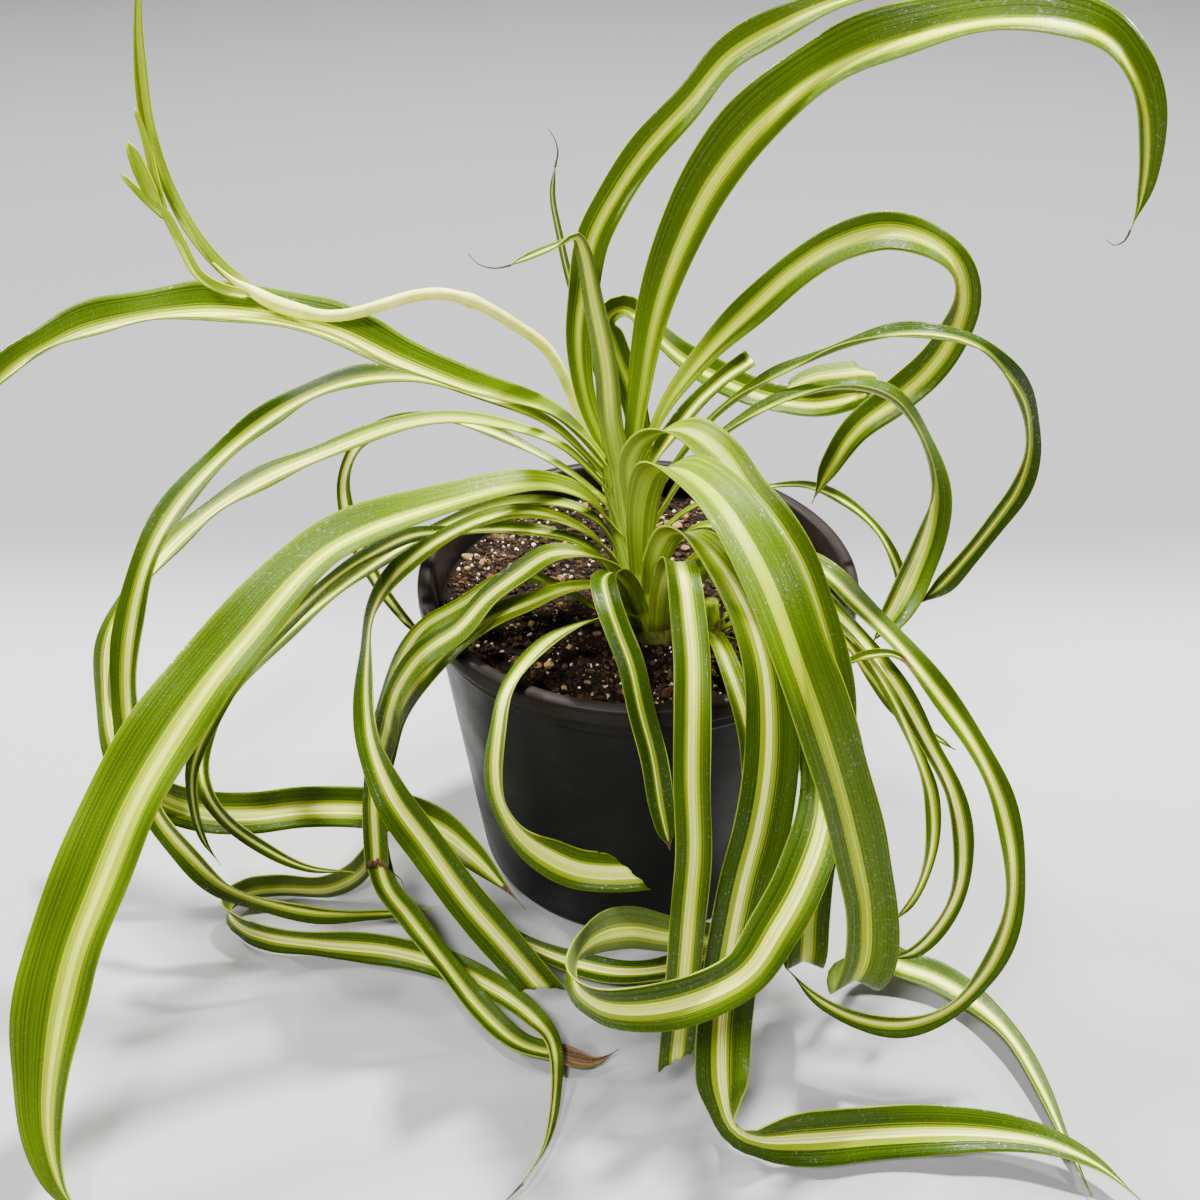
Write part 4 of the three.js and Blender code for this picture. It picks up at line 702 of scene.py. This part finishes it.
def lay_leaf(leaf, nature, seed):
    """A leaf as a gutter with a rounded keel and waved edges, with its sheath round the stem."""
    line = leaf_line(leaf["route"])
    total = line[-1]["along"]
    gap, _, stem = nearest_stem(line[0]["middle"])
    sheath = min(LONGEST_SHEATH, max(SHEATH, line[0]["middle"].z - SOIL_LEVEL + SHEATH_IN_SOIL))
    sheath_steps = round(sheath / STATION) if gap < 8 else 0
    rows = len(line) + sheath_steps
    bm = bmesh.new()
    bmesh.ops.create_grid(bm, x_segments=ACROSS, y_segments=rows - 1, size=1, calc_uvs=False)
    stripes = bm.loops.layers.uv.new("UVMap")
    names = ("across", "along", "pale", "dry", "seed", "young", "cream", "shift")
    layers = {name: bm.verts.layers.float.new(name) for name in names}
    start = line[0]
    if sheath_steps:
        out = (start["middle"] - stem_centre(stem, start["middle"].z))
        turn = Vector((-out.y, out.x, 0)).normalized()
        hand = 1 if turn.dot(start["direction"].cross(start["look"])) >= 0 else -1
    for vert in bm.verts:
        q = vert.co.x
        row = round((vert.co.y + 1) / 2 * (rows - 1)) - sheath_steps
        place = line[max(0, row)]
        share = place["along"] / total
        half = leaf_width(leaf, share, nature.get("cut")) / 2
        if not sheath_steps:
            half *= smoothstep(-0.04, 0.05, share)
        left = total - place["along"]
        if nature.get("rounded") and left < leaf["width"] * 0.4:
            half *= sqrt(max(0.02, 1 - (1 - left / (leaf["width"] * 0.4)) ** 2))
        side = place["direction"].cross(place["look"])
        lean = sin(radians(leaf["fold"] + SHARP_FOLD * place["bend"]))
        reach = cos(radians(leaf["fold"] + SHARP_FOLD * place["bend"]))
        lift = half * lean * (sqrt(q * q + KEEL ** 2) - KEEL) / (sqrt(1 + KEEL ** 2) - KEEL)
        wave = EDGE_WAVE * half / (leaf["width"] / 2) * smoothstep(0.1, 0.3, share)
        ripple = wave * sin(2 * pi * place["along"] / WAVE_LENGTH + (1 if q > 0 else -1)) * abs(q) ** 1.5
        point = place["middle"] + side * q * half * reach + place["look"] * (lift + ripple)
        slant = nature.get("slant", 0) * q - 1.2 * abs(sin(5 * q + 40 * seed)) * bool(nature.get("slant"))
        point += place["direction"] * slant * (1 - smoothstep(0, 14, left))
        down = 0
        if sheath_steps and row < CLASPING_ROWS:
            down = -row * STATION
            z = start["middle"].z - max(0, down)
            away = out.length - stem_radius(stem, start["middle"].z)
            settled = smoothstep(0, SHEATH, down)
            round_stem = stem_radius(stem, z) + away * (1 - settled) + 0.3 + 0.5 * seed * settled
            opening = q * hand * (half + 2.5 * settled) / round_stem
            centre = stem_centre(stem, z)
            outwards = Vector((out.x, out.y, 0)).normalized()
            clasp = centre + Quaternion((0, 0, 1), opening) @ outwards * round_stem
            clasp.z = z
            hold = smoothstep(-CLASPING_ROWS * STATION, 3 * STATION, down)
            point = point.lerp(clasp + place["direction"] * max(0, -down), hold)
        vert.co = point * MM
        vert[layers["across"]] = q
        vert[layers["along"]] = (place["along"] - max(0, down)) * MM
        vert[layers["pale"]] = 1 - smoothstep(8, nature.get("lime", 0.28) * total, place["along"])
        from_tip = (total - place["along"] + 0.01) / nature.get("dried", 0.001)
        vert[layers["dry"]] = 1 - smoothstep(0.75, 1.25, from_tip)
        vert[layers["seed"]] = seed
        vert[layers["young"]] = nature["young"]
        vert[layers["cream"]] = nature["cream"]
        vert[layers["shift"]] = nature.get("shift", 0.3 * seed - 0.15)
    for face in bm.faces:
        for loop in face.loops:
            loop[stripes].uv = (loop.vert[layers["across"]] / 2 + 0.5, loop.vert[layers["along"]] * 10)
    return bm


# Leaf tissue. The stripes run the whole length: green margins round a middle of cream and yellow-green.
OLD_DEEP = (0.007, 0.021, 0.0, 1)
OLD_GREEN = (0.021, 0.046, 0.0, 1)
OLD_LIGHT = (0.055, 0.095, 0.0, 1)
YOUNG_DEEP = (0.034, 0.07, 0.0, 1)
YOUNG_GREEN = (0.068, 0.118, 0.0, 1)
YOUNG_LIGHT = (0.15, 0.22, 0.0, 1)
OLIVE_LINE = (0.15, 0.2, 0.005, 1)
YELLOW_GREEN = (0.34, 0.42, 0.0, 1)
PALE_YELLOW = (0.56, 0.64, 0.01, 1)
CREAM = (0.94, 0.92, 0.3, 1)
LIME_BASE = (0.25, 0.38, 0.0, 1)
DRIED_BROWN = (0.035, 0.016, 0.007, 1)
DRIED_TAN = (0.17, 0.1, 0.045, 1)
STRIPE_INPUTS = ("across", "along", "seed", "pale", "dry", "young", "cream", "shift")


def stripe_group():
    """Works out the leaf's colour and the height of its veins from where a point is on the leaf."""
    group = bpy.data.node_groups.new("leaf_stripes", "ShaderNodeTree")
    for name in STRIPE_INPUTS:
        group.interface.new_socket(name, in_out="INPUT", socket_type="NodeSocketFloat")
    group.interface.new_socket("colour", in_out="OUTPUT", socket_type="NodeSocketColor")
    for name in ("height", "dryness", "band"):
        group.interface.new_socket(name, in_out="OUTPUT", socket_type="NodeSocketFloat")
    given = group.nodes.new("NodeGroupInput").outputs
    across, along, seed, pale, dry, young, cream, shift = (given[name] for name in STRIPE_INPUTS)
    apart = maths(group, "MULTIPLY", seed, 31)

    def streaks(fine, slow, layer, detail=2.0):
        where = add(group, "ShaderNodeCombineXYZ", {"X": maths(group, "MULTIPLY", across, fine),
                                                    "Y": maths(group, "MULTIPLY", along, slow),
                                                    "Z": maths(group, "ADD", apart, layer)})
        return speckle(group, where.outputs[0], 1, detail, 0.55)

    wander = maths(group, "MULTIPLY_ADD", streaks(0.0, 5, 3.0), 0.3, maths(group, "SUBTRACT", shift, 0.15))
    broad = streaks(4.5, 0.9, 0.0, 1)
    narrow = streaks(11, 0.9, 12.0, 1)
    fine = streaks(24, 1.2, 5.0, 2)
    off = maths(group, "ABSOLUTE", maths(group, "ADD", across, wander))
    edge = maths(group, "MULTIPLY_ADD", cream, 0.72, 0.04)
    past_edge = maths(group, "SUBTRACT", maths(group, "SUBTRACT", off, edge), 0.25)
    measure = maths(group, "MULTIPLY_ADD", narrow, 0.5, past_edge)
    margin = between(group, measure, -0.015, 0.015)
    beside = between(group, measure, -0.17, -0.13)
    outer = between(group, measure, 0.14, 0.18)
    soft = mixed(group, maths(group, "MULTIPLY", young, 0.75), CREAM, PALE_YELLOW)
    yellow = mixed(group, maths(group, "MULTIPLY_ADD", young, 0.8, 0.2), OLIVE_LINE, YELLOW_GREEN)
    broad_stripe = maths(group, "MULTIPLY", between(group, broad, 0.5, 0.53), 0.75)
    middle = mixed(group, broad_stripe, soft, PALE_YELLOW)
    middle = mixed(group, maths(group, "MULTIPLY", between(group, fine, 0.56, 0.6), 0.6), middle, yellow)
    middle = mixed(group, beside, middle, yellow)
    tone = maths(group, "MULTIPLY_ADD", fine, 0.8, maths(group, "MULTIPLY_ADD", outer, -0.06, 0.12))
    old = ramp(group, tone, [(0.3, OLD_DEEP), (0.5, OLD_GREEN), (0.85, OLD_LIGHT)])
    fresh = ramp(group, tone, [(0.3, YOUNG_DEEP), (0.5, YOUNG_GREEN), (0.8, YOUNG_LIGHT)])
    green = mixed(group, young, old, fresh)
    inner = maths(group, "SUBTRACT", 1, outer)
    stray = maths(group, "MULTIPLY", between(group, narrow, 0.52, 0.535), inner)
    green = mixed(group, maths(group, "MULTIPLY", stray, 0.7), green, yellow)
    colour = mixed(group, margin, middle, green)
    base = mixed(group, margin, LIME_BASE, mixed(group, 0.45, green, LIME_BASE))
    base = mixed(group, maths(group, "MULTIPLY", between(group, broad, 0.5, 0.56), 0.45), base, PALE_YELLOW)
    base = mixed(group, maths(group, "MULTIPLY", between(group, fine, 0.54, 0.6), 0.45), base, YOUNG_GREEN)
    colour = mixed(group, maths(group, "MULTIPLY", pale, 0.9), colour, base)
    rim = between(group, maths(group, "ABSOLUTE", across), 0.97, 0.99)
    colour = mixed(group, maths(group, "MULTIPLY", rim, 0.3), colour, YELLOW_GREEN)
    ragged = maths(group, "MULTIPLY_ADD", streaks(3, 60, 2.0), 0.7, -0.35)
    dryness = between(group, maths(group, "ADD", dry, ragged), 0.35, 0.6)
    dryness = maths(group, "MULTIPLY", dryness, between(group, dry, 0.0, 0.08))
    dried = mixed(group, between(group, streaks(6, 60, 4.0, 3), 0.35, 0.65), DRIED_BROWN, DRIED_TAN)
    colour = mixed(group, dryness, colour, dried)
    veins = maths(group, "MULTIPLY_ADD", streaks(17, 1, 7.0, 2), 0.7, maths(group, "MULTIPLY", fine, 0.3))
    result = group.nodes.new("NodeGroupOutput")
    for name, value in (("colour", colour), ("height", veins), ("dryness", dryness), ("band", margin)):
        group.links.new(value, result.inputs[name])
    return group


leaf_stripes = stripe_group()


def leaf_material(name, dulling, dull, roughness):
    material, tree, shader, place = new_material(name)
    attributes = {key: add(tree, "ShaderNodeAttribute", attribute_name=key).outputs["Fac"]
                  for key in STRIPE_INPUTS}
    stripes = add(tree, "ShaderNodeGroup", node_tree=leaf_stripes)
    for key, value in attributes.items():
        tree.links.new(value, stripes.inputs[key])
    colour = mixed(tree, dulling, stripes.outputs["colour"], dull)
    height = add(tree, "ShaderNodeSeparateXYZ", {"Vector": place}).outputs["Z"]
    # The sheaths go darker at their foot, near the soil.
    low_down = between(tree, height, 0.119, 0.134, 0.9, 0.0)
    near_soil_darkening = maths(tree, "MULTIPLY", low_down, between(tree, attributes["along"], 0.012, 0.003))
    colour = mixed(tree, near_soil_darkening, colour, DARK_AT_SOIL_LINE)
    tree.links.new(colour, shader.inputs["Base Color"])
    grain = speckle(tree, place, 1900, 2, 0.6)
    rough = maths(tree, "MULTIPLY_ADD", stripes.outputs["dryness"], 0.3, roughness)
    sparkle = between(tree, speckle(tree, place, 1500, 2, 0.6), 0.5, 0.62, 0.1, -0.1)
    tree.links.new(maths(tree, "ADD", sparkle, rough), shader.inputs["Roughness"])
    glitter = between(tree, speckle(tree, place, 1000, 1, 0.5), 0.63, 0.68, 0.09, 0.5)
    tree.links.new(glitter, shader.inputs["Specular IOR Level"])
    veins = add(tree, "ShaderNodeBump", {"Strength": 0.5, "Distance": 0.0005,
                                         "Height": stripes.outputs["height"]})
    bump = add(tree, "ShaderNodeBump", {"Strength": 0.5, "Distance": 0.0002, "Height": grain,
                                        "Normal": veins.outputs["Normal"]})
    tree.links.new(bump.outputs["Normal"], shader.inputs["Normal"])
    return material


leaf_upper = leaf_material("leaf_upper_side", 0.0, (0, 0, 0, 1), 0.22)
leaf_under = leaf_material("leaf_underside", 0.18, (0.3, 0.34, 0.1, 1), 0.42)
leaf_rim = leaf_material("leaf_rim", 0.4, (0.3, 0.36, 0.04, 1), 0.4)


def leaf_piece(name, bm, slot, *nodes):
    made = piece(name, bm, [leaf_upper, leaf_under, leaf_rim], slot, *nodes)
    body = made.modifiers.new("leaf_body", "SOLIDIFY")
    body.thickness = LEAF_THICKNESS * MM
    body.offset = 0
    body.material_offset = 1
    body.material_offset_rim = 2
    return made


random.seed(7)
for name, leaf in LEAVES.items():
    leaf_piece(name + "_blade", lay_leaf(leaf, NATURE[name], random.random()), "leaf_tissue", name)


# ---------------------------------------------------------------------------------------------
# The runner: a thin round stem, paler than the leaves, which carries a young plant at its far end.
# The young plant is a narrow leaf, and a stalk with three bracts round a bud.
RUNNER_RADIUS = 2.1
RUNNER_ROUTE = [[-10.5, 3.3, 161], [-15.5, 11.5, 172], [-22, 18, 186], [-27, 17, 200], [-33, 13, 212],
                [-42, 9, 221], [-53, 5, 230], [-63, 3, 234], [-72, 2, 234], [-82, 1, 231.5],
                [-92, 1, 228.5], [-101, 1, 227.5], [-111, 2, 229], [-119, 4, 231], [-125, 5.6, 233.8],
                [-131, 6.2, 237.5], [-136.5, 6.8, 243]]
YOUNG_LEAF = {"width": 4.4, "base": 0.9, "spread": 0.1, "taper": 0.5, "tip": 0.4, "fold": 22,
              "route": [[-125.6, 6.6, 234.6, 0], [-133, 7.5, 240, 0], [-141, 9, 251, 0], [-147, 11, 265, 0],
                        [-150, 13, 285, 0], [-149, 14, 303, 0], [-146, 13, 318, 0], [-142, 10, 328, 0]]}
YOUNG_STALK = {"width": 3.4, "base": 1, "spread": 0.1, "taper": 0.9, "tip": 0.7, "fold": 24,
               "route": [[-125.8, 4.2, 233.2, 0], [-134, 3, 236, 0], [-140, 2, 241, 0],
                         [-144, 3, 251, 0], [-148, 4, 262, 0]]}
YOUNG_BRACTS = [
    {"width": 2.6, "base": 0.9, "spread": 0.1, "taper": 0.3, "tip": 0.4, "fold": 22,
     "route": [[-147, 4, 258, 0], [-152, 3.4, 264, 0], [-158, 2, 273, 0]]},
    {"width": 5, "base": 0.4, "spread": 0.4, "taper": 0.6, "tip": 0.3, "fold": 30,
     "route": [[-147.6, 4.2, 260, 0], [-150.5, 4, 267, 0], [-152.5, 4, 275, 0], [-154.5, 4, 282, 0]]},
    {"width": 2.6, "base": 0.9, "spread": 0.1, "taper": 0.3, "tip": 0.4, "fold": 22,
     "route": [[-147.4, 4, 259, 0], [-148.6, 5, 270, 0], [-149.5, 6, 281, 0], [-151, 6, 291, 0]]}]


def round_stem(route, radius, thicken):
    """A round stem through a route. Its thickness changes along it by the function thicken(share)."""
    line = smooth_route(route, 2)
    bm = bmesh.new()
    sides = 14
    bmesh.ops.create_cone(bm, cap_ends=False, segments=sides, radius1=1, radius2=1, depth=1)
    rungs = [edge for edge in bm.edges if abs(edge.verts[0].co.z - edge.verts[1].co.z) > 0.5]
    bmesh.ops.subdivide_edges(bm, edges=rungs, cuts=len(line) - 2, use_grid_fill=False)
    look = squared(FRONT_AND_UP, line[0]["direction"])
    frames = []
    for place in line:
        look = squared(look, place["direction"])
        frames.append((place["middle"], place["direction"].cross(look), look))
    for vert in bm.verts:
        share = vert.co.z + 0.5
        middle, side, up = frames[round(share * (len(line) - 1))]
        vert.co = (middle + (side * vert.co.x + up * vert.co.y) * radius * thicken(share)) * MM
    bmesh.ops.recalc_face_normals(bm, faces=bm.faces)
    return bm


runner_skin, tree, shader, place = new_material("runner_skin")
blotches = speckle(tree, place, 120, 4, 0.6)
tree.links.new(ramp(tree, blotches, [(0.3, (0.55, 0.62, 0.04, 1)), (0.55, (0.82, 0.82, 0.14, 1)),
                                     (0.75, (0.97, 0.95, 0.26, 1))]), shader.inputs["Base Color"])
shader.inputs["Roughness"].default_value = 0.42
pores = speckle(tree, place, 1400, 2, 0.5)
bump = add(tree, "ShaderNodeBump", {"Strength": 0.25, "Distance": 0.0003, "Height": pores})
tree.links.new(bump.outputs["Normal"], shader.inputs["Normal"])


def runner_knots(share):
    """The runner is nearly even, with one joint on the way and a swelling where the young plant grows."""
    joint = 0.25 * max(0, 1 - abs(share - 0.5) / 0.02)
    swelling = 0.3 * smoothstep(0.78, 0.84, share)
    return (1 - 0.12 * share + joint + swelling) * (1 - 0.85 * smoothstep(0.86, 1, share))


runner_mesh = round_stem(RUNNER_ROUTE, RUNNER_RADIUS, runner_knots)
piece("runner_stem", runner_mesh, [runner_skin], "stem_tissue", "runner")
young_blade = lay_leaf(YOUNG_LEAF, {"young": 0.75, "cream": 0.85, "shift": -0.3, "lime": 0.02}, 0.37)
leaf_piece("young_leaf_blade", young_blade, "leaf_tissue", "young_leaf")
stalk_blade = lay_leaf(YOUNG_STALK, {"young": 1, "cream": 1.4, "lime": 0.02, "cut": True}, 0.6)
leaf_piece("young_stalk_blade", stalk_blade, "leaf_tissue", "young_stalk")
for number, bract in enumerate(YOUNG_BRACTS):
    bract_blade = lay_leaf(bract, {"young": 1, "cream": 1.2, "lime": 0.02}, 0.2 * number)
    leaf_piece(f"young_bract_{number + 1}", bract_blade, "leaf_tissue")


# ---------------------------------------------------------------------------------------------
# Fine dried threads at the tips: what is left where the end of a leaf has withered to a hair.
# They are brown, stiff and thinner than a sewing thread, and each grows out of its leaf's tip.
THREADS = {
    "top_front": [[-41, -5.8, 247.2], [-46, -6.5, 246.5], [-51, -7, 248], [-54, -7, 251.5]],
    "top_thin": [[-28, 26, 267], [-27, 26, 272], [-28, 26, 276], [-30, 26, 279]],
    "top_right": [[147, -5, 258], [146, -5, 254.5], [143, -5, 253.2], [140.5, -5, 255]],
    "floor_curl": [[-38.6, -162.5, 1.8], [-42, -166, 1.2], [-44, -168.5, 1], [-42.5, -170, 1.2]],
    "left_cut": [[-96, -54, 32], [-92, -54.5, 28], [-89, -55, 25], [-88, -56, 22]]}
THREAD_RADIUS = 0.4

dried_thread, tree, shader, place = new_material("dried_thread")
tree.links.new(ramp(tree, speckle(tree, place, 300, 3, 0.5), [(0.35, DRIED_BROWN), (0.7, DRIED_TAN)]),
               shader.inputs["Base Color"])
shader.inputs["Roughness"].default_value = 0.7
for name, route in THREADS.items():
    thread = round_stem(route, THREAD_RADIUS, lambda share: 1 - 0.75 * share)
    piece(name + "_dried_thread", thread, [dried_thread], "leaf_tissue")


# ---------------------------------------------------------------------------------------------
# The studio: one large pale cloth floor, greyed to the back by painted shade, and soft light from above and
# behind.
# The camera stands where the photograph was taken from, a little above the plant.
CAMERA_SPOT = (-13.7, -389.0, 400.1)
CAMERA_TILT = 53.8
CAMERA_LENS = 39
CLOTH_FRONT = (0.29, 0.29, 0.295, 1)
# The back colour is the same pale cloth with painted shade on it.
CLOTH_BACK_PAINTED_SHADE = (0.125, 0.125, 0.13, 1)

cloth, tree, shader, place = new_material("pale_floor_cloth")
# Painted shade: the floor darkens from front to back, where less light reaches it.
depth = between(tree, add(tree, "ShaderNodeSeparateXYZ", {"Vector": place}).outputs["Y"], 0.1, 0.24)
cloth_with_painted_shade = mixed(tree, depth, CLOTH_FRONT, CLOTH_BACK_PAINTED_SHADE)
tree.links.new(cloth_with_painted_shade, shader.inputs["Base Color"])
shader.inputs["Roughness"].default_value = 0.9
threads = speckle(tree, place, 1500, 3, 0.6)
bump = add(tree, "ShaderNodeBump", {"Strength": 0.2, "Distance": 0.0004, "Height": threads})
tree.links.new(bump.outputs["Normal"], shader.inputs["Normal"])
bm = bmesh.new()
bmesh.ops.create_grid(bm, x_segments=8, y_segments=8, size=4)
floor_mesh = bpy.data.meshes.new("floor")
bm.to_mesh(floor_mesh)
bm.free()
floor_mesh.materials.append(cloth)
floor_cloth = bpy.data.objects.new("floor", floor_mesh)
bpy.context.scene.collection.objects.link(floor_cloth)


def soft_light(name, spot, power, size, tint):
    lamp = bpy.data.lights.new(name, "AREA")
    lamp.shape = "DISK"
    lamp.size = size
    lamp.energy = power
    lamp.color = tint
    made = bpy.data.objects.new(name, lamp)
    made.location = spot
    made.rotation_euler = (Vector((0, 0, 0.12)) - Vector(spot)).to_track_quat("-Z", "Y").to_euler()
    bpy.context.scene.collection.objects.link(made)


soft_light("light_above_behind_right", (0.5, 0.75, 1.9), 205, 0.17, (1, 0.985, 0.95))
soft_light("light_above_behind_left", (-0.9, 0.65, 1.6), 62, 0.25, (1, 0.985, 0.95))
soft_light("light_left_glint", (-1.6, 0.6, 0.85), 34, 0.1, (1, 1, 1))
soft_light("light_right_glint", (1.5, 0.45, 1.15), 30, 0.1, (1, 1, 1))
soft_light("light_front", (-0.5, -1.1, 1.9), 62, 0.45, (0.98, 0.99, 1))

world = bpy.data.worlds.new("studio_air")
world.use_nodes = True
world.node_tree.nodes["Background"].inputs["Color"].default_value = (0.93, 0.95, 1, 1)
world.node_tree.nodes["Background"].inputs["Strength"].default_value = 0.2
bpy.context.scene.world = world

camera = bpy.data.cameras.new("photo_camera")
camera.lens = CAMERA_LENS
camera.sensor_width = 36
camera.clip_start = 0.01
camera_stand = bpy.data.objects.new("photo_camera", camera)
camera_stand.location = Vector(CAMERA_SPOT) * MM
camera_stand.rotation_euler = (radians(CAMERA_TILT), 0, 0)
bpy.context.scene.collection.objects.link(camera_stand)
bpy.context.scene.camera = camera_stand
